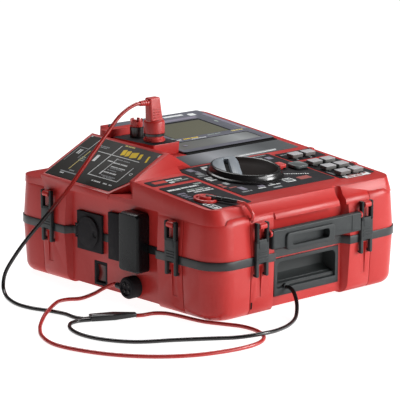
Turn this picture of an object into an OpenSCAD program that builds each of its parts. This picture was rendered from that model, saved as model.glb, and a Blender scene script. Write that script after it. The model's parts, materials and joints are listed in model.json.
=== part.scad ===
// Portable appliance tester: an instrument console in a two part carrying case.
// +X runs to the right along the handle side, +Y towards the rear, +Z up from the floor.

/* [Case] */
// Width across the handle side, without latches
case_w = 280; // [272:1:296]
// Depth from the handle side to the rear
case_d = 335; // [328:1:350]
// Height of the case floor above the table
base_z = 2; // [1:0.1:3]
// Middle height of the joint between the two halves
joint_z = 62; // [60:0.5:64]
// Height of the shoulder round the console
shoulder_z = 112; // [109:0.5:116]
// Radius of the upright corners
corner_r = 28; // [24:1:30]
// Radius along the bottom and shoulder edges
edge_r = 11; // [8:0.5:12]
// How far each half draws in from the joint to its far edge
draft = 2.5; // [1.5:0.1:3]
// Thickness of the mouldings
wall = 3.5; // [3:0.1:4]
// Height of the black sealing band
band_h = 9; // [8:0.1:10]
// How far the band stands proud of the case
band_proud = 1.2; // [0.8:0.1:1.4]

/* [Corner guards and recesses] */
// Distance from the end to the guard seam, along the sides
seam_y = 52; // [50:0.5:54]
// Thickness of a corner guard
guard_t = 2.8; // [2.2:0.1:3]
// Width of the visible seam beside a guard
seam_gap = 0.8; // [0.5:0.1:1]
// Half width of the recess in the handle side and the rear
front_recess = 53; // [50:0.5:54]
// Half width of the recess in each side
side_recess = 73; // [70:0.5:74]
// Depth of the front and rear recesses
front_recess_t = 11; // [9:0.5:12]
// Depth of the side recesses
side_recess_t = 9; // [7:0.5:10]
// Height of the bottom edge of the recesses above the case floor
middle_lift = 3; // [2:0.5:4]

/* [Console] */
// Height of the console at its front edge
console_front_z = 119.5; // [118:0.5:122]
// Height of the console at its rear edge
console_rear_z = 152; // [149:0.5:155]
// Distance from the handle side to the front edge of the console
console_inset = 12; // [11:0.5:14]
// Distance from each side to the console edge
console_side = 5; // [4:0.5:7]
// Corner radius of the console
console_r = 15; // [9:0.5:18]
// Thickness of the panel overlays
overlay_t = 1.6; // [1.2:0.1:2]
// Height of the display module above the console
bezel_rise = 2.4; // [1.5:0.1:3]

/* [Controls] */
// Radius of the dial at its base
dial_r = 42; // [39:0.5:43]
// Height of the dial
dial_h = 9; // [8:0.5:10.5]
// Gap between the dial and the test button
dial_gap = 2; // [1:0.5:4]
// Radius of the dial shaft
shaft_r = 3; // [2.5:0.1:4]
// Length of a key from side to side
key_w = 16.5; // [15:0.1:17.5]
// Width of a key from front to back
key_d = 11; // [10:0.1:12]
// Travel of a key
key_travel = 1.2; // [0.8:0.1:1.4]

/* [Handle and latches] */
// Half length of the handle
handle_half = 66; // [64:0.5:66.5]
// Half length of the handle grip
grip_half = 42; // [38:0.5:46]
// Height of the handle hinge
handle_z = 89; // [87:0.5:91]
// Radius of the handle pins
handle_pin_r = 2; // [1.6:0.1:2.4]
// Distance of the side latches from the middle
latch_y = 103; // [100:0.5:104]
// Width of a latch lever
latch_w = 16; // [14:0.5:16.5]
// Height of the latch pins
latch_pin_z = 99; // [97:0.5:101]
// Radius of the latch pins
latch_pin_r = 1.5; // [1.2:0.1:1.8]

/* [Terminals and leads] */
// Radius of the bore of the free test socket
socket_r = 2.05; // [2:0.01:2.2]
// Depth of the bore of the free test socket
socket_depth = 16; // [12:1:18]
// Diameter of the long leads
lead_d = 4.2; // [3.6:0.1:5]
// Diameter of the short lead
short_lead_d = 3.6; // [3:0.1:4]

/* [Fits] */
// Gap between fixed pieces that sit in each other
fit_gap = 0.2; // [0.1:0.05:0.3]
// Gap beside pieces that move
move_gap = 0.4; // [0.3:0.05:0.5]
// Radial clearance of pins that turn
pin_gap = 0.06; // [0.03:0.01:0.1]

/* [Hidden] */

red = [0.80, 0.20, 0.18];
dark_red = [0.55, 0.10, 0.09];
black = [0.11, 0.12, 0.12];
slate = [0.24, 0.26, 0.26];
grey = [0.55, 0.56, 0.56];
steel = [0.75, 0.76, 0.78];
olive = [0.42, 0.41, 0.34];

half_w = case_w/2;
half_d = case_d/2;
latch_x = handle_half + latch_w/2 + 4;
seam_x = half_w - latch_x - latch_w/2 - 3;
lower_top = joint_z - band_h/2;
upper_low = joint_z + band_h/2;
guard_inset = guard_t + fit_gap;
cavity_inset = wall + draft + guard_inset;
cavity_floor = base_z + middle_lift + wall;
console_y = -half_d + console_inset;
console_rear = half_d - 9;
console_tilt = atan((console_rear_z - console_front_z)/(console_rear - console_y));
console_base_z = shoulder_z - 8;
recess_top = shoulder_z - 5;
lip_low = shoulder_z - 11;
recess_flare = 4;
panel_sink = overlay_t - 0.4;
col_fn = 32;

function console_z(y) = console_front_z + (y - console_y)*tan(console_tilt);
function signs() = [[-1, -1], [1, -1], [1, 1], [-1, 1]];

// Distances on the console, which follow its width and its depth
function across(v) = v*case_w/280;
function along(v) = v*case_d/335;
function spread(p) = [across(p[0]), along(p[1]), across(p[2]), along(p[3])];

// Places things on the sloping console above the plan point x, y
module on_console(x, y) {
    translate([x, y, console_z(y)]) rotate([console_tilt, 0, 0]) children();
}

// Extrudes a profile drawn in depth and height along X
module along_x(length) {
    rotate([90, 0, 90]) translate([0, 0, -length/2]) linear_extrude(length) children();
}

// Rectangle with true round corners
module round_rect(w, d, r) {
    square([w - 2*r, d], center = true);
    square([w, d - 2*r], center = true);
    for (s = signs())
        translate([s[0]*(w/2 - r), s[1]*(d/2 - r)]) circle(r, $fn = 48);
}

module rounded_box(w, d, h, r) {
    linear_extrude(h) round_rect(w, d, r);
}

// Profile of one corner column, from the joint to the rounded far edge
function half_profile(z_seam, z_end, inset) =
    let (s = sign(z_end - z_seam), r = corner_r - inset, e = edge_r - inset, far = r - draft)
    concat(
        [[0, z_seam], [r, z_seam]],
        [for (a = [0:15:90]) [far - e + e*cos(a), z_end - s*inset - s*e*(1 - sin(a))]],
        [[0, z_end - s*inset]]
    );

// Outer form of one half of the case
module half_form(z_seam, z_end, inset = 0) {
    hull()
        for (s = signs())
            translate([s[0]*(half_w - corner_r), s[1]*(half_d - corner_r), 0])
                rotate_extrude($fn = col_fn) polygon(half_profile(z_seam, z_end, inset));
}

// Plan of one recess, open towards -Y at the distance edge
module recess_plan(half, depth, edge) {
    polygon([
        [-half, depth - edge], [half, depth - edge], [half + recess_flare, -edge],
        [half + recess_flare, -edge - 6], [-half - recess_flare, -edge - 6],
        [-half - recess_flare, -edge]
    ]);
}

module side_recess_plans(grow = 0, deeper = 0) {
    rotate(180) recess_plan(front_recess - grow + deeper, front_recess_t + deeper, half_d + grow);
    for (a = [90, 270])
        rotate(a) recess_plan(side_recess - grow + deeper, side_recess_t + deeper, half_w + grow);
}

module recess_plans(grow = 0, deeper = 0) {
    recess_plan(front_recess - grow + deeper, front_recess_t + deeper, half_d + grow);
    side_recess_plans(grow, deeper);
}

// Grooves between the lip above the handle and the corners beside it
groove_w = 10;
groove_depth = 17;

module lip_grooves() {
    translate([front_recess - groove_w/2, -half_d - 1, lip_low - 1])
        linear_extrude(60) round_rect(groove_w, 2*groove_depth + 2, 4);
    translate([-front_recess - 1, -half_d - 1, lip_low - 1])
        linear_extrude(60) round_rect(3, front_recess_t + 2, 1.4);
}

// Plan of the case at the joint, grown outwards
module case_plan(grow = 0) {
    difference() {
        round_rect(case_w + 2*grow, case_d + 2*grow, corner_r + grow);
        recess_plans(grow);
    }
}

module cavity_plan() {
    difference() {
        round_rect(case_w - 2*cavity_inset, case_d - 2*cavity_inset, corner_r - cavity_inset);
        recess_plans(0, wall);
    }
}

module corner_zones() {
    for (s = signs())
        translate([s[0]*(half_w - seam_x/2 + 5), s[1]*(half_d - seam_y/2 + 5), 60])
            cube([seam_x + 10, seam_y + 10, 200], center = true);
}

// Skin that the guards stand in, and the core that they stand on
module guarded_form(z_seam, z_end) {
    half_form(z_seam, z_end, guard_inset);
    difference() {
        half_form(z_seam, z_end);
        corner_zones();
    }
}

module console_form(grow = 0) {
    top_w = case_w - 2*console_side + 2*grow;
    top_d = (console_rear - console_y)/cos(console_tilt) + 2*grow;
    hull() {
        translate([0, 0, console_base_z])
            linear_extrude(1) round_rect(top_w + 4, console_rear - console_y + 10 + 2*grow, console_r + 4);
        on_console(0, (console_rear + console_y)/2)
            translate([0, 0, grow - 1]) linear_extrude(1) round_rect(top_w, top_d, console_r);
    }
}

// Label block on the rear left of the console

label_x = 6 - half_w;
label_y = -5;
label_z = 114.5;
label_rise = 26.2;
label_pitch = 2.6;
label_w = 75.4;
label_d = 119.4;
label_cut = [24, 12.5];
label_rim = 4;
label_right = label_x + (label_w + label_rim)*cos(label_rise);
slope_y = label_y - 29;
slope_foot = [
    [console_side - half_w + 0.5, slope_y], [label_right + 4, slope_y], [label_right + 21, label_y - 16]
];

module on_label() {
    translate([label_x, label_y, label_z]) rotate([label_pitch, -label_rise, 0]) children();
}

module label_plan(grow = 0) {
    polygon([
        [label_cut[0] - grow/2, -grow], [label_w + grow, -grow], [label_w + grow, label_d + grow],
        [-grow, label_d + grow], [-grow, label_cut[1] - grow/2]
    ]);
}

module label_block() {
    hull() {
        on_label() translate([0, 0, -7]) linear_extrude(7) label_plan(label_rim);
        translate([label_x - 3, label_y + label_cut[1], console_base_z - 4])
            cube([80, label_d - label_cut[1], 1]);
    }
    hull() {
        on_label() translate([label_cut[0], -label_rim, -7])
            cube([label_w + label_rim - label_cut[0], 2*label_rim, 7]);
        translate([label_x + label_cut[0], slope_y, console_base_z]) cube([50, 30, 1]);
        for (p = slope_foot)
            translate([p[0], p[1], console_base_z]) cube([1, 1, console_z(p[1]) - console_base_z - 0.2]);
    }
}

// Room above and behind the label block that the console gives up
module label_room() {
    on_label() translate([-20, label_cut[1] - label_rim, -3])
        cube([label_w + 20 + label_rim, 200, 60]);
    translate([-case_w, slope_y, shoulder_z + 1]) cube([case_w + label_right, label_cut[1] - slope_y, 60]);
    translate([-case_w, guard_y + guard_d, shoulder_z]) cube([case_w + guard_right + 1, 100, 60]);
}

// Case

module lower_shell() color(red) {
    difference() {
        guarded_form(lower_top, base_z);
        translate([0, 0, base_z - 5]) linear_extrude(joint_z) recess_plans();
        for (size = [[2*front_recess, 2*case_d], [2*case_w, 2*side_recess]])
            translate([0, 0, base_z]) cube([size[0], size[1], 2*middle_lift], center = true);
        translate([0, 0, cavity_floor]) linear_extrude(joint_z) cavity_plan();
        hand_pocket_hole();
        mains_hole();
        rocker_hole();
        foot_places() cylinder(h = foot_seat, r = foot_r + fit_gap, $fn = 48);
        at_latches() latch_groove();
    }
}

module upper_shell() color(red) {
    difference() {
        union() {
            guarded_form(upper_low, shoulder_z);
            difference() {
                console_form();
                label_room();
            }
            label_block();
            terminal_guard();
        }
        translate([0, 0, upper_low - 1]) linear_extrude(lip_low - upper_low + 1) recess_plans();
        translate([0, 0, upper_low - 1]) linear_extrude(recess_top - upper_low + 1) side_recess_plans();
        translate([0, 0, upper_low - 1]) linear_extrude(shoulder_z - 2*wall - upper_low + 1) cavity_plan();
        lip_grooves();
        console_cavity();
        mains_hole();
        panel_seats();
        at_latches() latch_groove();
        short_lead_hole();
    }
    at_latches() latch_lug();
    handle_ears();
}

// Hollow under the sloping console
module console_cavity() {
    low = shoulder_z - 3*wall;
    rear = console_rear - 14;
    intersection() {
        along_x(case_w - 2*console_side - 8*wall)
            polygon([
                [console_y + 10, low], [rear, low],
                [rear, console_z(rear) - 2*wall], [console_y + 10, console_z(console_y + 10) - 2*wall]
            ]);
        union() {
            translate([label_right + 13, -half_d, 0]) cube([case_w, half_d + guard_y - 4, 200]);
            translate([guard_right + 8, -half_d, 0]) cube([case_w, case_d, 200]);
            translate([-half_w, -half_d, 0]) cube([case_w, half_d + slope_y - 5, 200]);
        }
    }
}

module seal_band() color(black)
    difference() {
        translate([0, 0, lower_top]) linear_extrude(band_h) case_plan(band_proud);
        translate([0, 0, lower_top - 1]) linear_extrude(band_h + 2) cavity_plan();
        mains_hole(fit_gap);
    }

module four_ways() {
    children();
    mirror([1, 0, 0]) children();
    mirror([0, 1, 0]) children();
    rotate(180) children();
}

// Section through a guard, outwards from the axis of its corner
module guard_section(z_seam, z_end)
    difference() {
        polygon(half_profile(z_seam, z_end, 0));
        polygon(half_profile(z_seam - sign(z_end - z_seam), z_end, guard_t));
    }

module corner_guards(z_seam, z_end) {
    reach_x = seam_x - seam_gap - corner_r;
    reach_y = seam_y - seam_gap - corner_r;
    four_ways() translate([half_w - corner_r, half_d - corner_r, 0]) {
        rotate_extrude(angle = 90, $fn = col_fn) guard_section(z_seam, z_end);
        translate([-reach_x, 0, 0]) rotate([90, 0, 90]) linear_extrude(reach_x) guard_section(z_seam, z_end);
        rotate([90, 0, 0]) linear_extrude(reach_y) guard_section(z_seam, z_end);
        translate([-reach_x, -reach_y, min(z_end, z_end - sign(z_end - z_seam)*guard_t)])
            cube([reach_x, reach_y, guard_t]);
    }
}

module lower_corner_guards() color(red)
    difference() {
        corner_guards(lower_top, base_z);
        foot_places() cylinder(h = foot_seat, r = foot_r + fit_gap, $fn = 48);
    }

module upper_corner_guards() color(red)
    difference() {
        corner_guards(upper_low, shoulder_z);
        console_form(seam_gap);
        on_label() translate([0, 0, -30]) linear_extrude(60) label_plan(label_rim + seam_gap);
    }

// Feet and rear hooks

foot_r = 10;
foot_seat = base_z + 1.5;

module foot_places()
    for (s = signs())
        translate([s[0]*(half_w - 32), s[1]*(half_d - 32), 0]) children();

module feet() color(black)
    foot_places() {
        cylinder(h = foot_seat, r = foot_r, $fn = 48);
    }

hook_x = latch_x;
hook_w = 26;
hook_out = 7;

module rear_hooks() color(black)
    for (x = [-hook_x, hook_x])
        translate([x, half_d, 0])
            along_x(hook_w)
                polygon([
                    [0.1, joint_z - 18], [3, joint_z - 18], [hook_out, joint_z - 10],
                    [hook_out, joint_z + 18], [3, joint_z + 24], [0.1, joint_z + 24], [0.1, upper_low + 1],
                    [band_proud + 0.2, upper_low], [band_proud + 0.2, lower_top],
                    [0.1, lower_top - 1]
                ]);

// Hand pocket in the handle side

pocket_half = 48;
pocket_low = 15.5;
pocket_high = 56;
pocket_t = 20;
pocket_rim = 3;
pocket_face = -half_d + front_recess_t;
lead_exit = [-30, -half_d + front_recess_t - 2, 23.5];

module hand_pocket_hole()
    translate([-pocket_half + pocket_rim - fit_gap, pocket_face - 5, pocket_low + pocket_rim - fit_gap])
        cube([
            2*(pocket_half - pocket_rim + fit_gap), pocket_t + 10,
            pocket_high - pocket_low - 2*pocket_rim + 2*fit_gap
        ]);

module hand_pocket() color(slate) {
    in_half = pocket_half - pocket_rim;
    in_low = pocket_low + pocket_rim;
    in_high = pocket_high - pocket_rim;
    difference() {
        union() {
            translate([-pocket_half, pocket_face - 2, pocket_low])
                cube([2*pocket_half, 2, pocket_high - pocket_low]);
            translate([-in_half, pocket_face - 1, in_low])
                cube([2*in_half, pocket_t + 1, in_high - in_low]);
        }
        intersection() {
            along_x(2*in_half)
                polygon([
                    [pocket_face - 3, in_low + 4], [pocket_face + 1, in_low + 6],
                    [pocket_face + 1, in_low + 9], [pocket_face + 12, in_low + 12],
                    [pocket_face + pocket_t - 2.5, in_low + 16],
                    [pocket_face + pocket_t - 2.5, in_high], [pocket_face - 3, in_high]
                ]);
            translate([0, pocket_face - 3, (in_low + in_high)/2]) rotate([-90, 0, 0])
                rounded_box(2*in_half - 3, in_high - in_low - 1.5, pocket_t + 2, 6);
        }
    }
    translate([lead_exit[0], lead_exit[1], lead_exit[2]])
        rotate([-90, 0, 0]) cylinder(h = 6, r = lead_d/2 + 1.5, $fn = 32);
}

// Handle

handle_y = -half_d - 4;
handle_t = 3.6;
ear_t = 2;
pin_into_handle = 9;

module handle() color(slate)
    difference() {
        union() {
            along_x(2*handle_half) {
                translate([handle_y, handle_z]) circle(handle_t, $fn = 48);
                translate([handle_y - handle_t, handle_z - 17]) square([2*handle_t, 17]);
            }
            translate([0, handle_y - 4, handle_z - 11.5]) rotate([90, 0, 0])
                translate([0, 0, -10]) rounded_box(2*grip_half, 17, 12, 4);
        }
        translate([3, handle_y - 4, handle_z - 11.5]) rotate([90, 0, 0])
            translate([0, 0, 0]) rounded_box(2*grip_half - 22, 10, 5, 3);
        for (s = [-1, 1])
            translate([s*(handle_half - pin_into_handle/2 + 0.5), handle_y, handle_z])
                rotate([0, 90, 0])
                    cylinder(h = pin_into_handle + 1, r = handle_pin_r + pin_gap, center = true, $fn = 32);
    }

module handle_ears()
    for (s = [-1, 1])
        translate([s*(handle_half + move_gap + ear_t/2), 0, 0])
            difference() {
                along_x(ear_t) {
                    translate([handle_y, handle_z]) circle(handle_t, $fn = 48);
                    translate([handle_y, handle_z - handle_t])
                        square([-half_d - handle_y + 3, 2*handle_t]);
                }
                translate([0, handle_y, handle_z]) rotate([0, 90, 0])
                    cylinder(h = ear_t + 2, r = handle_pin_r + 0.02, center = true, $fn = 32);
            }

module hinge_pins() color(steel) {
    for (s = [-1, 1])
        translate([s*(handle_half + move_gap + ear_t), handle_y, handle_z])
            rotate([0, -90*s, 0])
                cylinder(h = ear_t + move_gap + pin_into_handle - 1.5, r = handle_pin_r, $fn = 32);
    on_lid_hinge() cylinder(h = lid_hinge_w + 6, r = lid_pin_r, center = true, $fn = 32);
}

// Latches, drawn at the middle of a face that looks towards -Y

latch_out = 3.6;
latch_back = 1.5;
latch_t = 3.4;
latch_eye = 3.2;
prong_w = 3;
latch_low = 46;
block_low = joint_z;
block_high = 84;

function latch_angle(i) = i < 2 ? 0 : i < 4 ? -90 : 90;
function latch_shift(i) = [-latch_x, latch_x, latch_y, -latch_y, -latch_y, latch_y][i];
function latch_face(i) = i < 2 ? half_d : half_w;

module at_latch(i)
    rotate(latch_angle(i)) translate([latch_shift(i), -latch_face(i), 0]) children();

module at_latches() for (i = [0:5]) at_latch(i) children();

module latch_lever() {
    lug_half = latch_w/2 - prong_w;
    difference() {
        union() {
            translate([-latch_w/2, -latch_back - latch_t, block_low])
                cube([latch_w, latch_t, block_high - block_low]);
            for (s = [-1, 1])
                translate([s*(latch_w - prong_w)/2, 0, 0]) {
                    along_x(prong_w) {
                        translate([-latch_out, latch_pin_z]) circle(latch_eye, $fn = 32);
                        translate([-latch_back - latch_t, block_high - 1])
                            square([latch_t, latch_pin_z - block_high]);
                        translate([-latch_back - latch_t, latch_low])
                            square([latch_t, block_low - latch_low + 1]);
                        translate([-latch_back - latch_t, latch_low])
                            square([latch_t + latch_back + 1.2, 2]);
                    }
                }
        }
        translate([0, -latch_out, latch_pin_z]) rotate([0, 90, 0])
            cylinder(h = latch_w + 2, r = latch_pin_r + pin_gap, center = true, $fn = 32);
        translate([-lug_half + 2, -latch_back - latch_t - 1, block_low + 5])
            cube([2*lug_half - 4, 2.2, block_high - block_low - 9]);
    }
}

module latch_lug() {
    lug_half = latch_w/2 - prong_w - move_gap;
    difference() {
        along_x(2*lug_half) {
            translate([-latch_out, latch_pin_z]) circle(latch_eye, $fn = 32);
            translate([-latch_out, latch_pin_z - latch_eye]) square([latch_out + 3, 2*latch_eye]);
        }
        translate([0, -latch_out, latch_pin_z]) rotate([0, 90, 0])
            cylinder(h = latch_w, r = latch_pin_r + 0.02, center = true, $fn = 32);
    }
}

// Slots that the lever hooks reach into, and the thumb groove below
module latch_groove() {
    for (s = [-1, 1])
        translate([s*(latch_w - prong_w)/2, 0, latch_low + 1])
            cube([prong_w + 2*move_gap + 0.4, 4.5, 5], center = true);
    translate([0, 0, (latch_low + 24)/2 + 4]) cube([latch_w - 2*prong_w - 3, 5, 34], center = true);
}

module latch_front_left() color(slate) at_latch(0) latch_lever();
module latch_front_right() color(slate) at_latch(1) latch_lever();
module latch_left_front() color(slate) at_latch(2) latch_lever();
module latch_left_rear() color(slate) at_latch(3) latch_lever();
module latch_right_front() color(slate) at_latch(4) latch_lever();
module latch_right_rear() color(slate) at_latch(5) latch_lever();

module latch_pins() color(steel)
    at_latches()
        translate([0, -latch_out, latch_pin_z]) rotate([0, 90, 0])
            cylinder(h = latch_w - 0.6, r = latch_pin_r, center = true, $fn = 32);

// Panels on the console, each given by its middle, width and depth

dial_panel_at = spread([3, -77, 138, 107]);
strip_at = spread([41, -2, 168, 36]);
bezel_at = spread([55, 86, 140, 134]);
window_at = spread([56, 95, 87, 57]);
lower_window_at = spread([52, 41, 121, 26]);
jack_at = spread([-100.5, -108, 57, 84]);
small_jack_at = spread([-99.5, -51, 59, 17]);
key_beds = [spread([102, -45, 54, 30]), spread([102, -100.5, 54, 69])];
key_rows = [along(-51), along(-82), along(-103), along(-125)];
key_columns = [across(87), across(107)];
test_at = [across(42), along(-73), 12, 12];
pad_at = [across(62), along(-81), 20, 18];
dial_at = [test_at[0] - test_at[2]/2 - dial_gap - dial_r, along(-71)];

function key_place(i) = [key_columns[i % 2], key_rows[floor(i/2)]];

module panel_seat(p, depth, r = 3)
    on_console(p[0], p[1]) translate([0, 0, -depth])
        rounded_box(p[2] + 2*fit_gap, p[3] + 2*fit_gap, depth + 5, r);

module panel_seats() {
    panel_seat(dial_panel_at, panel_sink);
    panel_seat(strip_at, panel_sink);
    panel_seat(bezel_at, panel_sink);
    panel_seat(jack_at, panel_sink);
    panel_seat(small_jack_at, panel_sink);
    for (bed = key_beds) panel_seat(bed, panel_sink);
    stem_holes();
    on_console(dial_at[0], dial_at[1])
        cylinder(h = 60, r = shaft_r + 1.5, center = true, $fn = 48);
    on_label() translate([0, 0, -panel_sink]) linear_extrude(5) label_plan(fit_gap);
    on_console(block_at[0], block_at[1]) translate([0, 0, -panel_sink])
        rounded_box(block_at[2] + 2*fit_gap, block_at[3] + 2*fit_gap, 40, 3);
}

module plate(p, r = 3)
    on_console(p[0], p[1]) translate([0, 0, -panel_sink]) rounded_box(p[2], p[3], overlay_t, r);

module dial_panel() color(black)
    difference() {
        plate(dial_panel_at);
        stem_holes();
        on_console(dial_at[0], dial_at[1])
            cylinder(h = 60, r = shaft_r + pin_gap, center = true, $fn = 48);
    }

module jack_panel() color(black) {
    plate(jack_at);
    plate(small_jack_at);
}

module key_panel() color(black)
    difference() {
        for (bed = key_beds) plate(bed);
        stem_holes();
    }

module function_strip() color(grey)
    difference() {
        plate(strip_at);
        panel_seat(dial_panel_at, 10);
    }

module display_bezel() color(slate)
    difference() {
        on_console(bezel_at[0], bezel_at[1]) translate([0, 0, -panel_sink])
            rounded_box(bezel_at[2], bezel_at[3], panel_sink + bezel_rise, 4);
        for (w = [window_at, lower_window_at])
            on_console(w[0], w[1]) translate([0, 0, 0.6])
                rounded_box(w[2] + 2*fit_gap, w[3] + 2*fit_gap, 10, 2);
        on_console(block_at[0], block_at[1]) translate([0, 0, -5])
            rounded_box(block_at[2] + 2*fit_gap, block_at[3] + 2*fit_gap, 40, 3);
    }

module window_glass(w)
    on_console(w[0], w[1]) translate([0, 0, 0.6]) rounded_box(w[2], w[3], bezel_rise - 1.1, 2);

module display_window() color(olive) window_glass(window_at);
module lower_window() color(black) window_glass(lower_window_at);

module label_plate() color(black)
    on_label() translate([0, 0, -panel_sink]) linear_extrude(overlay_t) label_plan();

// Keys and buttons

stem_r = 4;
key_h = 3.4;
board_drop = 15;

module stem_hole() cylinder(h = 40, r = stem_r + move_gap, center = true, $fn = 32);

module stem_holes() {
    for (i = [0:7]) on_console(key_place(i)[0], key_place(i)[1]) stem_hole();
    for (p = [test_at, pad_at]) on_console(p[0], p[1]) stem_hole();
}

module push_key(w, d, h, r) {
    lift = overlay_t - panel_sink + key_travel + move_gap;
    translate([0, 0, lift]) rounded_box(w, d, h, r);
    translate([0, 0, lift + h]) linear_extrude(0.5) round_rect(w - 1.6, d - 1.6, r - 0.6);
    stem_low = -board_drop + key_travel + move_gap;
    translate([0, 0, stem_low]) cylinder(h = lift - stem_low, r = stem_r, $fn = 32);
}

module key(i) color(grey) on_console(key_place(i)[0], key_place(i)[1]) push_key(key_w, key_d, key_h, 1.5);

module key_1() key(0);
module key_2() key(1);
module key_3() key(2);
module key_4() key(3);
module key_5() key(4);
module key_6() key(5);
module key_7() key(6);
module key_8() key(7);

module test_button() color(red) on_console(test_at[0], test_at[1]) push_key(test_at[2], test_at[3], 3.2, 3);
module pad_button() color(slate) on_console(pad_at[0], pad_at[1]) push_key(pad_at[2], pad_at[3], 2.6, 5);

// Dial, its shaft and the switch below it

dial_lift = overlay_t - panel_sink + move_gap;
dial_wall = 3;
dial_turn = 52;
dial_skirt_h = 2.6;
rim_r = dial_r - 4.5;
flat_at = 5;
slot_at = [20, 6];
slot_size = [4.5, 44];

module dial() color(black)
    on_console(dial_at[0], dial_at[1]) translate([0, 0, dial_lift]) {
        difference() {
            union() {
                cylinder(h = dial_skirt_h, r1 = dial_r, r2 = dial_r - 1, $fn = 96);
                cylinder(h = dial_h, r1 = rim_r + 2, r2 = rim_r, $fn = 96);
            }
            translate([0, 0, 3]) cylinder(h = dial_h, r1 = rim_r - 12, r2 = rim_r + 3, $fn = 96);
            translate([0, 0, -1]) cylinder(h = 3.2, r = shaft_r + 0.02, $fn = 48);
        }
        rotate(dial_turn + 90)
            difference() {
                intersection() {
                    translate([0, 0, 2]) cylinder(h = dial_h - 3, r = rim_r - dial_wall, $fn = 96);
                    rotate([90, 0, 0]) translate([0, 0, -dial_r])
                        linear_extrude(2*dial_r)
                            polygon([[flat_at, 2], [flat_at, 5], [rim_r, dial_h - 1.5], [rim_r, 2]]);
                }
                translate([slot_at[0], slot_at[1], dial_h - 3])
                    cube([slot_size[0], slot_size[1], 4], center = true);
            }
    }

switch_h = 16;
shaft_top = dial_lift + 1.9;

module dial_shaft() color(steel)
    on_console(dial_at[0], dial_at[1]) translate([0, 0, -board_drop - switch_h/2])
        cylinder(h = board_drop + switch_h/2 + shaft_top, r = shaft_r, $fn = 48);

module rotary_switch() color(black)
    on_console(dial_at[0], dial_at[1])
        difference() {
            translate([0, 0, -board_drop - switch_h - 2]) rounded_box(46, 46, switch_h, 6);
            cylinder(h = 2*(board_drop + switch_h/2) + 2, r = shaft_r + pin_gap, center = true, $fn = 48);
        }

// Inside

board_t = 1.6;
board_at = spread([35, -40, 160, 180]);
post_out = [board_at[2]/2 - 18, board_at[3]/2 - 8];

module circuit_board() color([0.1, 0.35, 0.2])
    difference() {
        union() {
            on_console(board_at[0], board_at[1]) translate([0, 0, -board_drop - board_t])
                rounded_box(board_at[2], board_at[3], board_t, 2);
            for (s = signs())
                on_console(board_at[0] + s[0]*post_out[0], board_at[1] + s[1]*post_out[1])
                    translate([0, 0, -board_drop])
                        cylinder(h = board_drop - 2*wall - fit_gap, r = 4, $fn = 24);
        }
        on_console(dial_at[0], dial_at[1])
            cylinder(h = 60, r = shaft_r + 2, center = true, $fn = 48);
    }

battery_size = [110, 70, 30];
battery_at = [30, 90];
cell_r = 14;
cell_pitch = 34;
module battery_pack() color(slate)
    translate([battery_at[0], battery_at[1], cavity_floor]) {
        rounded_box(battery_size[0], battery_size[1], battery_size[2], 4);
        for (x = [-1, 0, 1])
            translate([x*cell_pitch, 0, battery_size[2]]) rotate([90, 0, 0])
                cylinder(h = battery_size[1] - 12, r = cell_r, center = true, $fn = 32);
    }

core = [60, 50, 42];
coil = [44, 68, 26];
transformer_at = [-60, -60];

module transformer() color(steel)
    translate([transformer_at[0], transformer_at[1], cavity_floor]) {
        translate([-core[0]/2, -core[1]/2, 0]) cube(core);
        translate([-coil[0]/2, -coil[1]/2, (core[2] - coil[2])/2]) cube(coil);
        translate([-core[0]/2 - 8, -core[1]/2, 0]) cube([core[0] + 16, core[1], 3]);
    }

// Terminals behind the label block

block_at = [-35, 62, 40, 70];
block_top = 152;
plug_y = 47;
post_y = 77;
terminal_x = -35;
post_r = 5;
post_sink = 6;
barrel_h = 12;
crown_top = 21;

module on_block(y) translate([terminal_x, y, block_top]) children();

module terminal_block() color(black)
    difference() {
        on_console(block_at[0], block_at[1]) translate([0, 0, -panel_sink])
            rounded_box(block_at[2], block_at[3], 30, 3);
        translate([-case_w/2, -case_d/2, block_top - 0.05]) cube([case_w, case_d, 50]);
        on_block(post_y) translate([0, 0, -post_sink]) cylinder(h = 10, r = post_r + fit_gap, $fn = 48);
    }

// Wall that shields the terminals at the rear
guard_right = -21;
guard_y = 103;
guard_d = 8;

module terminal_guard()
    on_console((label_right + guard_right)/2, guard_y) translate([0, 0, -2])
        rounded_box(guard_right - label_right + 4, guard_d, 16, 3);

module test_socket() color(black)
    on_block(post_y)
        difference() {
            union() {
                translate([0, 0, -post_sink]) cylinder(h = post_sink, r = post_r, $fn = 48);
                cylinder(h = barrel_h, r = 7.5, $fn = 48);
                cylinder(h = socket_depth, r = post_r, $fn = 48);
            }
            cylinder(h = socket_depth + 1, r = socket_r, $fn = 48);
        }

module socket_crown() color(red)
    on_block(post_y)
        difference() {
            translate([0, 0, barrel_h]) cylinder(h = crown_top - barrel_h, r = 7, $fn = 48);
            translate([0, 0, barrel_h - 1]) cylinder(h = crown_top, r = post_r + fit_gap, $fn = 48);
            for (a = [0:60:359])
                rotate(a) translate([6, 0, crown_top]) cube([5, 3, 7], center = true);
        }

module lead_socket() color(red)
    on_block(plug_y) {
        cylinder(h = 3, r = 12, $fn = 64);
        translate([0, 0, 3]) cylinder(h = 3, r = 10.5, $fn = 64);
    }

plug_low = 6;
plug_cap_h = 18;
plug_top = 49;
plug_box = [18, 12];
plug_boot = [terminal_x - 21, plug_y, block_top + 44];

module lead_plug() color(red) {
    on_block(plug_y) {
        translate([0, 0, plug_low]) cylinder(h = plug_cap_h, r = 11.8, $fn = 64);
        hull() {
            translate([0, 0, plug_low + plug_cap_h]) rounded_box(plug_box[0], plug_box[1], 1, 3);
            translate([-2, 0, plug_top - 4]) rounded_box(plug_box[0] - 1.5, plug_box[1] - 1.5, 1, 3);
            translate([-2.5, 0, plug_top - 1]) rounded_box(plug_box[0] - 4, plug_box[1] - 4, 1, 3);
        }
    }
    translate(plug_boot) rotate([0, 90, 0]) cylinder(h = 12, r1 = 2.8, r2 = 3.7, $fn = 32);
}

// Ring jack and the short lead plugged into it

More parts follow.
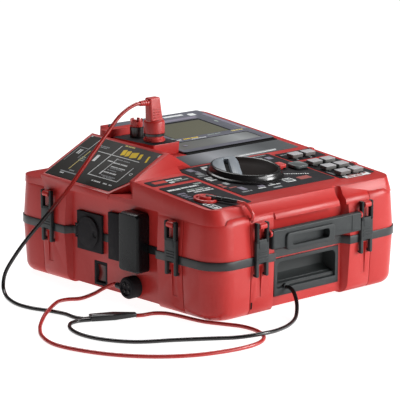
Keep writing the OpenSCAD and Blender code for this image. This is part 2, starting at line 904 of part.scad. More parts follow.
ring_at = [-112, -122];
ring_turn = -60;
ring_boot = 34;
boot_r = 2.6;

module ring_jack() color(red)
    on_console(ring_at[0], ring_at[1]) translate([0, 0, overlay_t - panel_sink])
        difference() {
            cylinder(h = 3, r = 13, $fn = 64);
            translate([0, 0, 0.8]) cylinder(h = 3, r = 10.5, $fn = 64);
            rotate(ring_turn) translate([0, -boot_r - move_gap, 0.8]) cube([20, 2*(boot_r + move_gap), 5]);
        }

module ring_plug() color(dark_red)
    on_console(ring_at[0], ring_at[1]) translate([0, 0, overlay_t - panel_sink + 0.8 + fit_gap]) {
        cylinder(h = 4, r = 7, $fn = 48);
        rotate(ring_turn) translate([0, 0, boot_r]) rotate([0, 90, 0])
            cylinder(h = ring_boot, r = boot_r, $fn = 32);
    }

ring_dir = [cos(ring_turn), sin(ring_turn)*cos(console_tilt), sin(ring_turn)*sin(console_tilt)];
boot_lift = overlay_t - panel_sink + 0.8 + fit_gap + boot_r;
boot_end = [ring_at[0], ring_at[1], console_z(ring_at[1])]
    + boot_lift*[0, -sin(console_tilt), cos(console_tilt)] + ring_boot*ring_dir;
short_lead_end = [-86.2, -half_d + 3.9, 104.6];
short_lead_dip = 38.5;

module short_lead_hole()
    translate(short_lead_end) rotate([-90 - short_lead_dip, 0, 0])
        cylinder(h = 14, r = short_lead_d/2 + 0.5, center = true, $fn = 32);

// Left side fittings

left_wall = -half_w + side_recess_t;
mains_at = [41.5, 64.5];
mains_size = [42, 42.5];
mains_t = 22;

module mains_hole(grow = -1)
    translate([left_wall + mains_t/2 - 5, mains_at[0], mains_at[1]])
        cube([mains_t + 10.4, mains_size[0] + 2*grow, mains_size[1] + 2*grow], center = true);

lid_r = 17;
lid_t = 2.4;
lid_pin_r = 1;
lid_hinge_w = 10;
lid_hinge = [left_wall - 5.2, mains_at[0] + lid_r + 1.4, mains_at[1]];

module on_lid_hinge() translate(lid_hinge) children();

module mains_socket() color(black) {
    difference() {
        union() {
            translate([left_wall - 3, mains_at[0] - mains_size[0]/2, mains_at[1] - mains_size[1]/2])
                cube([2.8, mains_size[0], mains_size[1]]);
            translate([left_wall - 1 + mains_t/2, mains_at[0], mains_at[1]])
                cube([mains_t, mains_size[0] - 2.6, mains_size[1] - 2.6], center = true);
        }
        translate([left_wall - 4, mains_at[0], mains_at[1]]) rotate([0, 90, 0])
            cylinder(h = 16, r = lid_r - 3, $fn = 64);
    }
    for (s = [-1, 1])
        on_lid_hinge() translate([0, 0, s*(lid_hinge_w/2 + move_gap + 1.2)])
            difference() {
                union() {
                    cylinder(h = 2.4, r = 2, center = true, $fn = 32);
                    translate([1.2, 0, 0]) cube([2.4, 4, 2.4], center = true);
                }
                cylinder(h = 4, r = lid_pin_r + 0.02, center = true, $fn = 32);
            }
}

module mains_lid() color(black)
    difference() {
        union() {
            translate([left_wall - 3 - move_gap, mains_at[0], mains_at[1]]) rotate([0, -90, 0])
                cylinder(h = lid_t, r = lid_r, $fn = 64);
            on_lid_hinge() cylinder(h = lid_hinge_w, r = 1.8, center = true, $fn = 32);
            translate([left_wall - 3 - move_gap - lid_t, lid_hinge[1] - 4.5, lid_hinge[2] - lid_hinge_w/2])
                cube([lid_t, 4.5, lid_hinge_w]);
        }
        on_lid_hinge() cylinder(h = 20, r = lid_pin_r + pin_gap, center = true, $fn = 32);
        translate([left_wall - 3 - move_gap - lid_t, mains_at[0] - lid_r + 4, mains_at[1]])
            rotate([0, 90, 0]) cylinder(h = 2, r = 4, center = true, $fn = 32);
    }

module band_notch(y0, y1)
    translate([left_wall - band_proud - fit_gap, y0 - 1, lower_top - 1])
        cube([6, y1 - y0 + 2, band_h + 2]);

slim_y = [-8, 9.5];
slim_z = [40.5, 92.5];
slim_t = 3.4;

module slim_cover() color(black)
    difference() {
        translate([left_wall - slim_t, slim_y[0], slim_z[0]])
            cube([slim_t - 0.1, slim_y[1] - slim_y[0], slim_z[1] - slim_z[0]]);
        band_notch(slim_y[0], slim_y[1]);
    }

adapter_y = [-55, -23];
adapter_z = [36.5, 101];
adapter_t = 17;
adapter_r = 5;

module adapter_box() color(black)
    difference() {
        hull()
            for (y = adapter_y, z = adapter_z, x = [[adapter_t, adapter_r - 1.5], [adapter_t - 4, adapter_r]])
                translate([
                    left_wall - x[0], y - sign(y - (adapter_y[0] + adapter_y[1])/2)*adapter_r,
                    z - sign(z - joint_z)*adapter_r
                ])
                    rotate([0, 90, 0]) cylinder(h = x[0] - 0.1, r = x[1], $fn = 32);
        band_notch(adapter_y[0], adapter_y[1]);
    }

rocker_at = [26, 20.5];
rocker_size = [22, 27];

module rocker_hole()
    translate([left_wall + 6, rocker_at[0], rocker_at[1]])
        cube([24, rocker_size[0], rocker_size[1]], center = true);

module rocker_frame() color(black)
    difference() {
        translate([left_wall + 8, rocker_at[0], rocker_at[1]])
            cube([16, rocker_size[0] - 2*fit_gap, rocker_size[1] - 2*fit_gap], center = true);
        translate([left_wall + 3, rocker_at[0], rocker_at[1]])
            cube([16, rocker_size[0] - 6, rocker_size[1] - 6], center = true);
    }

module rocker() color(dark_red)
    translate([left_wall + 6, rocker_at[0], rocker_at[1]])
        rotate([90, 0, 0]) translate([0, 0, -(rocker_size[0] - 6)/2 + move_gap])
            linear_extrude(rocker_size[0] - 6 - 2*move_gap)
                polygon([[-3.5, -9], [-1.5, 0], [-3.5, 9], [1, 9], [3, 0], [1, -9]]);

round_at = [-31, 17];
round_r = 12;
round_t = 13.5;
round_boot = [-138, -9, 15.5];

module round_plug() color(black)
    translate([left_wall - 0.1, round_at[0], round_at[1]]) rotate([0, -90, 0]) {
        cylinder(h = round_t - 2, r = round_r, $fn = 64);
        difference() {
            cylinder(h = round_t, r = round_r - 1.5, $fn = 64);
            translate([0, 0, round_t - 2]) cylinder(h = 3, r = round_r - 4, $fn = 48);
        }
        for (a = [45:90:359]) rotate(a) translate([5, 0, 0]) cylinder(h = round_t - 0.6, r = 1.6, $fn = 24);
        translate([round_boot[2] - round_at[1], round_boot[1] - round_at[0], left_wall - 0.1 - round_boot[0]])
            rotate([90, 0, 0]) cylinder(h = 12, r1 = 2.9, r2 = 4, $fn = 32);
    }

joint_a = [-216, -58];
joint_b = [-172, -80];

module lead_joint() color(black) {
    turn = atan2(joint_b[1] - joint_a[1], joint_b[0] - joint_a[0]);
    long = norm(joint_b - joint_a);
    translate([joint_a[0], joint_a[1], 0]) rotate(turn)
        hull() {
            translate([0, 0, 1]) linear_extrude(5) polygon([[0, -6], [21, -7], [21, 7], [0, 6]]);
            translate([long - 6, 0, 1.5]) linear_extrude(4) polygon([[0, -4], [6, -3], [6, 3], [0, 4]]);
            translate([2, 0, 0.4]) linear_extrude(6.4) polygon([[0, -4.5], [24, -5.5], [24, 5.5], [0, 4.5]]);
        }
}

// Leads: the points of each route, and a round tube swept along them

floor_z = lead_d/2 + 0.1;

black_route = [
    plug_boot, [-61, 47, plug_boot[2]], [-72, 48, 192], [-84, 49, 184.5], [-97, 50, 171.5],
    [-134, 53, 132], [-150, 55, 114], [-166, 59, 97], [-183, 67, 76], [-196, 75, 58],
    [-207, 82, 40], [-214.5, 87, 24], [-218.5, 86, 11], [-223, 77, 4], [-230, 60, floor_z],
    [-235.5, 38, floor_z], [-234, 17, floor_z], [-227, -4, floor_z], [-222.5, -24, floor_z],
    [-223.5, -42, floor_z], [-220, -52.6, floor_z], [-214.7, -55.3, floor_z]
];

module lead(route, d, sides = 8) {
    n = len(route);
    function ahead(i) = route[min(i + 1, n - 1)] - route[max(i - 1, 0)];
    function unit(v) = v/norm(v);
    function side(i) = unit(cross(ahead(i), [0, 0, 1]));
    function rise(i) = unit(cross(side(i), ahead(i)));
    points = [
        for (i = [0:n - 1], k = [0:sides - 1])
            route[i] + d/2*(cos(360*k/sides)*side(i) + sin(360*k/sides)*rise(i))
    ];
    walls = [
        for (i = [0:n - 2], k = [0:sides - 1])
            let (a = i*sides + k, b = i*sides + (k + 1) % sides)
            each [[a, b, b + sides], [a, b + sides, a + sides]]
    ];
    ends = [
        [for (k = [0:sides - 1]) sides - 1 - k],
        [for (k = [0:sides - 1]) (n - 1)*sides + k]
    ];
    polyhedron(points, concat(walls, ends));
}

red_route = [
    round_boot, round_boot + [0, 5, 0], [-144, 4, 11], [-155, 9, 5.4], [-170, 12.5, floor_z],
    [-186, 14.5, 3.5], [-202, 9.5, 5.5], [-216, -0.5, 7], [-230, -10.5, 7], [-246, -21, 4.6],
    [-260, -33, floor_z], [-277, -52, floor_z], [-293, -76, floor_z], [-302, -106, floor_z],
    [-297, -138, floor_z], [-282, -174, floor_z], [-257, -206, floor_z], [-226, -228, floor_z],
    [-194, -239, floor_z], [-164, -242.5, floor_z], [-143, -238, floor_z], [-128, -226, floor_z],
    [-119, -206, floor_z], [-119, -184, floor_z], [-127, -165, floor_z], [-136, -143, floor_z],
    [-142, -98, floor_z], [-151, -86.5, floor_z], [-165.6, -83.2, floor_z], [-172, -80, floor_z]
];

pocket_route = [
    lead_exit, lead_exit + [0, -5, 0], [-31.5, -171, 20.5], [-36, -180, 12.5], [-45, -189.5, 5.5],
    [-58, -200, floor_z], [-80, -213, floor_z], [-103, -223.5, 4.2], [-119, -229, 5.9],
    [-133, -230.5, 7], [-147, -226.5, 6.5], [-158, -216, 4.5], [-169, -199, floor_z],
    [-203, -176, floor_z], [-236, -155, floor_z], [-254, -128, floor_z], [-260, -100, floor_z],
    [-255, -75, floor_z], [-243, -59, floor_z], [-232, -55.5, floor_z],
    [-223.8, -57.5, floor_z], [-217.4, -60.7, floor_z]
];

short_route = [
    boot_end, boot_end + 3*ring_dir, [-91, -158.6, 122.4], [-88.6, -163.4, 117.2],
    [-87, -166.6, 110.5], short_lead_end
];

module black_lead() color(black) lead(black_route, lead_d);
module red_lead() color(red) lead(red_route, lead_d);
module pocket_lead() color(black) lead(pocket_route, lead_d);
module short_lead() color(red) lead(short_route, short_lead_d);

lower_shell();
upper_shell();
seal_band();
lower_corner_guards();
upper_corner_guards();
feet();
rear_hooks();
hand_pocket();
handle();
hinge_pins();
latch_front_left();
latch_front_right();
latch_left_front();
latch_left_rear();
latch_right_front();
latch_right_rear();
latch_pins();
dial_panel();
jack_panel();
key_panel();
function_strip();
display_bezel();
display_window();
lower_window();
label_plate();
key_1();
key_2();
key_3();
key_4();
key_5();
key_6();
key_7();
key_8();
test_button();
pad_button();
dial();
dial_shaft();
rotary_switch();
circuit_board();
battery_pack();
transformer();
terminal_block();
test_socket();
socket_crown();
lead_socket();
lead_plug();
ring_jack();
ring_plug();
mains_socket();
mains_lid();
slim_cover();
adapter_box();
rocker_frame();
rocker();
round_plug();
lead_joint();
black_lead();
red_lead();
pocket_lead();
short_lead();
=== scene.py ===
import json
import math

import bmesh
import bpy
from mathutils import Matrix, Vector


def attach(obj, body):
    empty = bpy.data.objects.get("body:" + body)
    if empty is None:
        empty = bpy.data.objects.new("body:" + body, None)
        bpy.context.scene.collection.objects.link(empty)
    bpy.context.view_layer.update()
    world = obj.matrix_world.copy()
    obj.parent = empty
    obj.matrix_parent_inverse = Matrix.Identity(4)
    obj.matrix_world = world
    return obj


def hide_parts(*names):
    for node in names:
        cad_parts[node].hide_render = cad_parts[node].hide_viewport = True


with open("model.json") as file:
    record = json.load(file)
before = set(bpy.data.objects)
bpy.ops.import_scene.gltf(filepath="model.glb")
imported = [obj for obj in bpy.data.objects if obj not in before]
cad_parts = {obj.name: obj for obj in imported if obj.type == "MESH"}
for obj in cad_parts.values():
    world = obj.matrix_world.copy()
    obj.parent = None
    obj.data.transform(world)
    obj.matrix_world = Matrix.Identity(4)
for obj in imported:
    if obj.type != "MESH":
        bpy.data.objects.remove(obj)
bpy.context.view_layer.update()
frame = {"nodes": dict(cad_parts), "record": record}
nodes = frame["nodes"]
MM = 0.001

# Camera, fitted to the photograph: the way it looks, the place it looks at and how far off it stands
AZIMUTH, ELEVATION = math.radians(42.3), math.radians(12.45)
CAMERA_TARGET = Vector((-0.00496, 0.00451, 0.0842))
CAMERA_DISTANCE = 2.445
CAMERA_LENS, CAMERA_SENSOR, CAMERA_REACH = 195.6, 36.0, 20.0
look = Vector((math.sin(AZIMUTH)*math.cos(ELEVATION), math.cos(AZIMUTH)*math.cos(ELEVATION),
               -math.sin(ELEVATION)))
camera_data = bpy.data.cameras.new("camera")
camera_data.lens = CAMERA_LENS
camera_data.sensor_width = CAMERA_SENSOR
camera_data.clip_end = CAMERA_REACH
camera = bpy.data.objects.new("camera", camera_data)
bpy.context.scene.collection.objects.link(camera)
camera.location = CAMERA_TARGET - look*CAMERA_DISTANCE
camera.rotation_euler = look.to_track_quat("-Z", "Y").to_euler()
bpy.context.scene.camera = camera
bpy.context.scene.view_settings.view_transform = "Standard"

# Sizes repeated from the CAD, in millimetres
HALF_W, HALF_D = 140.0, 167.5
CONSOLE_Y, CONSOLE_FRONT_Z = -155.5, 119.5
CONSOLE_RISE, CONSOLE_DEPTH = 32.5, 314.0
TILT = math.atan(CONSOLE_RISE/CONSOLE_DEPTH)
LEAD_D, SHORT_LEAD_D = 4.2, 3.6
FLOOR_Z = LEAD_D/2 + 0.1
PLUG_BOOT = (-56, 47, 196)
ROUND_BOOT = (-138, -9, 15.5)
LEAD_EXIT = (-30, -158.5, 23.5)
LEFT_WALL = -131.0
RING_AT, RING_TURN = (-112, -122), -60
RING_LIFT, RING_BOOT_Z, RING_BOOT_L = 1.4, 2.6, 34
PANEL_TOP, BEZEL_TOP, PRINT_T = 0.4, 2.4, 0.12


def console_z(y):
    return CONSOLE_FRONT_Z + (y - CONSOLE_Y)*math.tan(TILT)


def on_console(x, y, lift=0.0):
    """Matrix from console coordinates in millimetres to the frame in metres."""
    place = Matrix.Translation((x, y, console_z(y))) @ Matrix.Rotation(TILT, 4, "X")
    return Matrix.Scale(MM, 4) @ place @ Matrix.Translation((0, 0, lift))


def at(x, y, z, turn=None):
    place = Matrix.Translation((x, y, z))
    if turn is not None:
        place = place @ turn
    return Matrix.Scale(MM, 4) @ place


def turned(angle, axis):
    return Matrix.Rotation(math.radians(angle), 4, axis)


# Materials

def node(tree, kind, x=0, y=0, **values):
    made = tree.nodes.new(kind)
    made.location = (x, y)
    for key, value in values.items():
        setattr(made, key, value)
    return made


BUMP_DEPTH = 0.0002
RUB_SCALE = 95.0
RUB_FROM, RUB_TO = 0.52, 0.72
RUB_SHARE = 0.35
COAT_ROUGHNESS = 0.12


def surface_group():
    """Shared moulding effect: fine grain, slow mottling and rubbed patches, all in object coordinates."""
    tree = bpy.data.node_groups.new("moulded_surface", "ShaderNodeTree")
    for name, kind, value in (("Grain", "NodeSocketFloat", 900.0), ("Depth", "NodeSocketFloat", 0.3),
                              ("Patches", "NodeSocketFloat", 18.0)):
        socket = tree.interface.new_socket(name=name, in_out="INPUT", socket_type=kind)
        socket.default_value = value
    tree.interface.new_socket(name="Mottle", in_out="OUTPUT", socket_type="NodeSocketFloat")
    tree.interface.new_socket(name="Rubbed", in_out="OUTPUT", socket_type="NodeSocketFloat")
    tree.interface.new_socket(name="Normal", in_out="OUTPUT", socket_type="NodeSocketVector")
    group_in = node(tree, "NodeGroupInput", -900)
    group_out = node(tree, "NodeGroupOutput", 600)
    coord = node(tree, "ShaderNodeTexCoord", -900, -300)
    fine = node(tree, "ShaderNodeTexNoise", -500, 200)
    fine.inputs["Detail"].default_value = 3.0
    slow = node(tree, "ShaderNodeTexNoise", -500, -100)
    slow.inputs["Detail"].default_value = 4.0
    rub = node(tree, "ShaderNodeTexNoise", -500, -400)
    rub.inputs["Scale"].default_value = RUB_SCALE
    rub.inputs["Detail"].default_value = 6.0
    rub.inputs["Roughness"].default_value = 0.7
    for tex in (fine, slow, rub):
        tree.links.new(coord.outputs["Object"], tex.inputs["Vector"])
    tree.links.new(group_in.outputs["Grain"], fine.inputs["Scale"])
    tree.links.new(group_in.outputs["Patches"], slow.inputs["Scale"])
    bump = node(tree, "ShaderNodeBump", 200, 200)
    bump.inputs["Distance"].default_value = BUMP_DEPTH
    tree.links.new(group_in.outputs["Depth"], bump.inputs["Strength"])
    tree.links.new(fine.outputs["Fac"], bump.inputs["Height"])
    ramp = node(tree, "ShaderNodeMapRange", 0, -400)
    ramp.inputs["From Min"].default_value = RUB_FROM
    ramp.inputs["From Max"].default_value = RUB_TO
    tree.links.new(rub.outputs["Fac"], ramp.inputs["Value"])
    tree.links.new(slow.outputs["Fac"], group_out.inputs["Mottle"])
    tree.links.new(ramp.outputs["Result"], group_out.inputs["Rubbed"])
    tree.links.new(bump.outputs["Normal"], group_out.inputs["Normal"])
    return tree


SURFACE = surface_group()


def moulded(name, base, other, rub, rough=(0.35, 0.5), grain=900.0, depth=0.3, patches=18.0, coat=0.0,
            metallic=0.0, specular=0.5):
    """A moulded material: base mottled towards other, patches towards rub, roughness between two values."""
    mat = bpy.data.materials.new(name)
    mat.use_nodes = True
    tree = mat.node_tree
    shader = tree.nodes["Principled BSDF"]
    group = node(tree, "ShaderNodeGroup", -900)
    group.node_tree = SURFACE
    group.inputs["Grain"].default_value = grain
    group.inputs["Depth"].default_value = depth
    group.inputs["Patches"].default_value = patches
    mix = node(tree, "ShaderNodeMix", -500, 200, data_type="RGBA")
    mix.inputs["A"].default_value = (*base, 1)
    mix.inputs["B"].default_value = (*other, 1)
    tree.links.new(group.outputs["Mottle"], mix.inputs["Factor"])
    mark = node(tree, "ShaderNodeMix", -250, 200, data_type="RGBA")
    mark.inputs["B"].default_value = (*rub, 1)
    soft = node(tree, "ShaderNodeMath", -500, 0, operation="MULTIPLY")
    soft.inputs[1].default_value = RUB_SHARE
    tree.links.new(group.outputs["Rubbed"], soft.inputs[0])
    tree.links.new(soft.outputs[0], mark.inputs["Factor"])
    tree.links.new(mix.outputs["Result"], mark.inputs["A"])
    tree.links.new(mark.outputs["Result"], shader.inputs["Base Color"])
    gloss = node(tree, "ShaderNodeMapRange", -250, -100)
    gloss.inputs["To Min"].default_value = rough[0]
    gloss.inputs["To Max"].default_value = rough[1]
    tree.links.new(group.outputs["Mottle"], gloss.inputs["Value"])
    tree.links.new(gloss.outputs["Result"], shader.inputs["Roughness"])
    tree.links.new(group.outputs["Normal"], shader.inputs["Normal"])
    shader.inputs["Metallic"].default_value = metallic
    shader.inputs["Specular IOR Level"].default_value = specular
    shader.inputs["Coat Weight"].default_value = coat
    shader.inputs["Coat Roughness"].default_value = COAT_ROUGHNESS
    return mat


# Base, mottled and rubbed colour, roughness from and to, scale of the grain, its depth, scale of the patches
MATS = {
    "case_red": moulded("case_red", (0.45, 0.027, 0.024), (0.50, 0.033, 0.030), (0.53, 0.056, 0.050),
                        (0.29, 0.38), 1400.0, 0.1, 9.0, specular=0.27),
    "trim_slate": moulded("trim_slate", (0.014, 0.017, 0.018), (0.020, 0.024, 0.025), (0.045, 0.052, 0.052),
                          (0.42, 0.56), 1500.0, 0.25, 20.0, specular=0.35),
    "panel_black": moulded("panel_black", (0.026, 0.025, 0.027), (0.035, 0.033, 0.036), (0.06, 0.058, 0.058),
                           (0.7, 0.8), 1200.0, 0.1, 16.0, specular=0.05),
    "panel_grey": moulded("panel_grey", (0.20, 0.21, 0.23), (0.27, 0.28, 0.30), (0.34, 0.35, 0.37),
                          (0.7, 0.8), 1200.0, 0.08, 12.0, specular=0.05),
    "bezel_grey": moulded("bezel_grey", (0.115, 0.117, 0.140), (0.140, 0.142, 0.168), (0.20, 0.20, 0.22),
                          (0.68, 0.78), 1300.0, 0.2, 18.0, specular=0.06),
    "key_grey": moulded("key_grey", (0.36, 0.35, 0.36), (0.43, 0.42, 0.43), (0.52, 0.52, 0.53),
                        (0.5, 0.6), 1100.0, 0.2, 30.0, specular=0.2),
    "button_red": moulded("button_red", (0.48, 0.025, 0.021), (0.58, 0.040, 0.033), (0.65, 0.12, 0.10),
                          (0.3, 0.42), 1200.0, 0.1, 30.0),
    "window_olive": moulded("window_olive", (0.115, 0.113, 0.082), (0.125, 0.122, 0.09), (0.13, 0.127, 0.095),
                            (0.66, 0.74), 300.0, 0.02, 14.0, specular=0.05),
    "dial_black": moulded("dial_black", (0.008, 0.007, 0.007), (0.013, 0.012, 0.012), (0.025, 0.024, 0.024),
                          (0.24, 0.32), 500.0, 0.04, 20.0, coat=0.25),
    "plug_red": moulded("plug_red", (0.44, 0.018, 0.016), (0.52, 0.030, 0.024), (0.60, 0.09, 0.08),
                        (0.3, 0.42), 1100.0, 0.12, 24.0),
    "black_rubber": moulded("black_rubber", (0.008, 0.008, 0.009), (0.014, 0.014, 0.015),
                            (0.035, 0.035, 0.035), (0.3, 0.42), 1600.0, 0.2, 40.0, specular=0.5),
    "red_rubber": moulded("red_rubber", (0.42, 0.02, 0.018), (0.52, 0.035, 0.03), (0.6, 0.1, 0.08),
                          (0.22, 0.32), 1500.0, 0.15, 40.0, specular=0.6),
    "steel": moulded("steel", (0.55, 0.56, 0.58), (0.66, 0.67, 0.69), (0.45, 0.46, 0.48),
                     (0.22, 0.36), 700.0, 0.1, 40.0, metallic=1.0),
    "board_green": moulded("board_green", (0.02, 0.12, 0.05), (0.03, 0.16, 0.07), (0.08, 0.2, 0.1),
                           (0.35, 0.45), 600.0, 0.1, 30.0),
    "battery_case": moulded("battery_case", (0.06, 0.08, 0.13), (0.08, 0.10, 0.16), (0.14, 0.16, 0.2),
                            (0.3, 0.4), 900.0, 0.1, 20.0),
}


def graded(name, stops, axis, low, high, **kinds):
    """Moulded material whose colour runs from low to high, in metres along one axis, through the stops."""
    mat = moulded(name, stops[0][1], stops[0][1], stops[0][1], **kinds)
    tree = mat.node_tree
    coord = node(tree, "ShaderNodeTexCoord", -1100, 600)
    split = node(tree, "ShaderNodeSeparateXYZ", -900, 600)
    run = node(tree, "ShaderNodeMapRange", -700, 600)
    run.inputs["From Min"].default_value = low
    run.inputs["From Max"].default_value = high
    ramp = node(tree, "ShaderNodeValToRGB", -500, 600)
    points = ramp.color_ramp.elements
    while len(points) < len(stops):
        points.new(0.5)
    for point, (share, colour) in zip(points, stops):
        point.position = share
        point.color = (*colour, 1)
    tree.links.new(coord.outputs["Object"], split.inputs["Vector"])
    tree.links.new(split.outputs[axis], run.inputs["Value"])
    tree.links.new(run.outputs["Result"], ramp.inputs["Fac"])
    tree.links.new(ramp.outputs["Color"], tree.nodes["Principled BSDF"].inputs["Base Color"])
    return mat


def printed(name, colour):
    other = tuple(0.8*c for c in colour)
    return moulded(name, colour, other, other, (0.66, 0.76), 1500.0, 0.1, 200.0, specular=0.06)


# Colour runs, as shares of the way and their colours
# The function strip's run is painted sheen: darkest at its left end and lightest in a band about a third of
# the way along
STRIP_SHEEN_STOPS = [(0, (0.035, 0.036, 0.04)), (0.12, (0.10, 0.105, 0.115)), (0.3, (0.27, 0.28, 0.30)),
               (0.6, (0.13, 0.14, 0.145)), (0.78, (0.075, 0.08, 0.083)), (1, (0.085, 0.09, 0.093))]
# The lower window's run is painted reflection: lightest about three quarters of the way along X
GLASS_REFLECTION_STOPS = [(0, (0.10, 0.10, 0.092)), (0.45, (0.13, 0.135, 0.13)), (0.78, (0.27, 0.28, 0.285)),
               (1, (0.16, 0.165, 0.165))]
LEAD_STOPS = [(0, (0.010, 0.008, 0.008)), (1, (0.36, 0.02, 0.016))]
ROCKER_STOPS = [(0, (0.012, 0.008, 0.008)), (1, (0.16, 0.012, 0.010))]
MATS.update({
    "white_print": printed("white_print", (0.80, 0.82, 0.82)),
    "grey_print": printed("grey_print", (0.34, 0.35, 0.36)),
    "lilac_print": printed("lilac_print", (0.26, 0.24, 0.30)),
    "green_print": printed("green_print", (0.36, 0.42, 0.38)),
    "pink_print": printed("pink_print", (0.38, 0.12, 0.11)),
    "red_print": printed("red_print", (0.55, 0.07, 0.06)),
    "yellow_print": printed("yellow_print", (0.85, 0.60, 0.07)),
    "pale_yellow_print": printed("pale_yellow_print", (0.80, 0.66, 0.26)),
    # Painted shade for the sides of key caps, darker than their tops
    "key_side_painted_shade": moulded("key_side_painted_shade", (0.12, 0.115, 0.11), (0.15, 0.145, 0.14), (0.2, 0.19, 0.19),
                        (0.45, 0.6), 1100.0, 0.2, 30.0, specular=0.3),
    # Near-black painted shade, for faces and pieces that stand where shadow falls
    "painted_shade_black": moulded("painted_shade_black", (0.002, 0.002, 0.002), (0.004, 0.004, 0.004), (0.006, 0.006, 0.006),
                         (0.7, 0.8), 900.0, 0.1, 20.0, specular=0.1),
    "pad_grey": moulded("pad_grey", (0.065, 0.078, 0.080), (0.09, 0.10, 0.10), (0.14, 0.15, 0.15),
                        (0.35, 0.45), 1100.0, 0.15, 30.0),
    "label_black": moulded("label_black", (0.018, 0.016, 0.014), (0.024, 0.021, 0.018), (0.035, 0.032, 0.03),
                           (0.55, 0.65), 1200.0, 0.08, 16.0, specular=0.15),
    # Painted shade for the insides of recesses: the hand pocket and the handle's finger slot
    "recess_painted_shade": moulded("recess_painted_shade", (0.018, 0.021, 0.021), (0.024, 0.027, 0.027), (0.035, 0.04, 0.04),
                           (0.5, 0.62), 1500.0, 0.2, 20.0, specular=0.3),
    # Dark red-brown for inside the dial's bowl: a dark bowl with a painted reflection of the red case
    "bowl_painted_red_reflection": moulded("bowl_painted_red_reflection", (0.007, 0.004, 0.003), (0.010, 0.006, 0.005), (0.016, 0.010, 0.009),
                          (0.5, 0.6), 500.0, 0.04, 20.0, specular=0.04),
    # Light bluish grey of the dial's slanted flat: painted reflection of a bright window on the dark dial
    "flat_painted_reflection": moulded("flat_painted_reflection", (0.20, 0.225, 0.25), (0.28, 0.31, 0.34), (0.34, 0.37, 0.40),
                         (0.3, 0.4), 500.0, 0.04, 30.0, specular=0.35),
    "strip_painted_sheen": graded("strip_painted_sheen", STRIP_SHEEN_STOPS, "X", -0.043, 0.125,
                           rough=(0.5, 0.6), grain=1300.0, depth=0.1, specular=0.12),
    "glass_painted_reflection": graded("glass_painted_reflection", GLASS_REFLECTION_STOPS, "X", -0.01, 0.113,
                           rough=(0.45, 0.55), grain=400.0, depth=0.02, specular=0.12),
    "lead_graded": graded("lead_graded", LEAD_STOPS, "Z", 0.088, 0.108,
                          rough=(0.22, 0.32), grain=1500.0, depth=0.15, specular=0.6),
    "lead_black": moulded("lead_black", (0.008, 0.007, 0.007), (0.012, 0.011, 0.011), (0.03, 0.03, 0.03),
                          (0.2, 0.3), 1500.0, 0.12, 40.0, specular=0.7),
    "adapter_black": moulded("adapter_black", (0.004, 0.005, 0.006), (0.007, 0.008, 0.009),
                             (0.016, 0.017, 0.018), (0.22, 0.32), 900.0, 0.06, 20.0, specular=0.2),
    "rocker_graded": graded("rocker_graded", ROCKER_STOPS, "Y", 0.022, 0.029,
                            rough=(0.3, 0.4), grain=1200.0, depth=0.1),
})

SLOT_OF = {s["node"]: s["material_slot"] for s in frame["record"]["subparts"]}


def dress(obj, material):
    obj.data.materials.clear()
    obj.data.materials.append(MATS[material] if isinstance(material, str) else material)


for name, obj in nodes.items():
    dress(obj, SLOT_OF[name])


# Leads, along the routes of the CAD


def lead(name, route, diameter, material, replaced):
    """Round cord through the places of a route, in millimetres, in place of a CAD node."""
    data = bpy.data.curves.new(name, "CURVE")
    data.dimensions = "3D"
    data.bevel_depth = diameter/2*MM
    data.bevel_resolution = 5
    data.resolution_u = 8
    data.use_fill_caps = True
    spline = data.splines.new("BEZIER")
    spline.bezier_points.add(len(route) - 1)
    points = [Vector(p)*MM for p in route]
    for i, (knot, p) in enumerate(zip(spline.bezier_points, points)):
        before, after = points[max(i - 1, 0)], points[min(i + 1, len(points) - 1)]
        way = (after - before).normalized()
        knot.co = p
        knot.handle_left_type = knot.handle_right_type = "FREE"
        knot.handle_left = p - way*(p - before).length/3
        knot.handle_right = p + way*(after - p).length/3
    obj = bpy.data.objects.new(name, data)
    bpy.context.scene.collection.objects.link(obj)
    data.materials.append(MATS[material])
    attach(obj, "case")
    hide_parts(replaced)
    return obj


black_route = [
    PLUG_BOOT, (-61, 47, 196), (-72, 48, 192), (-84, 49, 184.5), (-97, 50, 171.5),
    (-134, 53, 132), (-150, 55, 114), (-166, 59, 97), (-183, 67, 76), (-196, 75, 58),
    (-207, 82, 40), (-214.5, 87, 24), (-218.5, 86, 11), (-223, 77, 4), (-230, 60, FLOOR_Z),
    (-235.5, 38, FLOOR_Z), (-234, 17, FLOOR_Z), (-227, -4, FLOOR_Z), (-222.5, -24, FLOOR_Z),
    (-223.5, -42, FLOOR_Z), (-220, -52.6, FLOOR_Z), (-214.7, -55.3, FLOOR_Z),
]
red_route = [
    ROUND_BOOT, (-138, -4, 15.5), (-144, 4, 11), (-155, 9, 5.4), (-170, 12.5, FLOOR_Z),
    (-186, 14.5, 3.5), (-202, 9.5, 5.5), (-216, -0.5, 7), (-230, -10.5, 7), (-246, -21, 4.6),
    (-260, -33, FLOOR_Z), (-277, -52, FLOOR_Z), (-293, -76, FLOOR_Z), (-302, -106, FLOOR_Z),
    (-297, -138, FLOOR_Z), (-282, -174, FLOOR_Z), (-257, -206, FLOOR_Z), (-226, -228, FLOOR_Z),
    (-194, -239, FLOOR_Z), (-164, -242.5, FLOOR_Z), (-143, -238, FLOOR_Z), (-128, -226, FLOOR_Z),
    (-119, -206, FLOOR_Z), (-119, -184, FLOOR_Z), (-127, -165, FLOOR_Z), (-136, -143, FLOOR_Z),
    (-142, -98, FLOOR_Z), (-151, -86.5, FLOOR_Z), (-165.6, -83.2, FLOOR_Z), (-172, -80, FLOOR_Z),
]
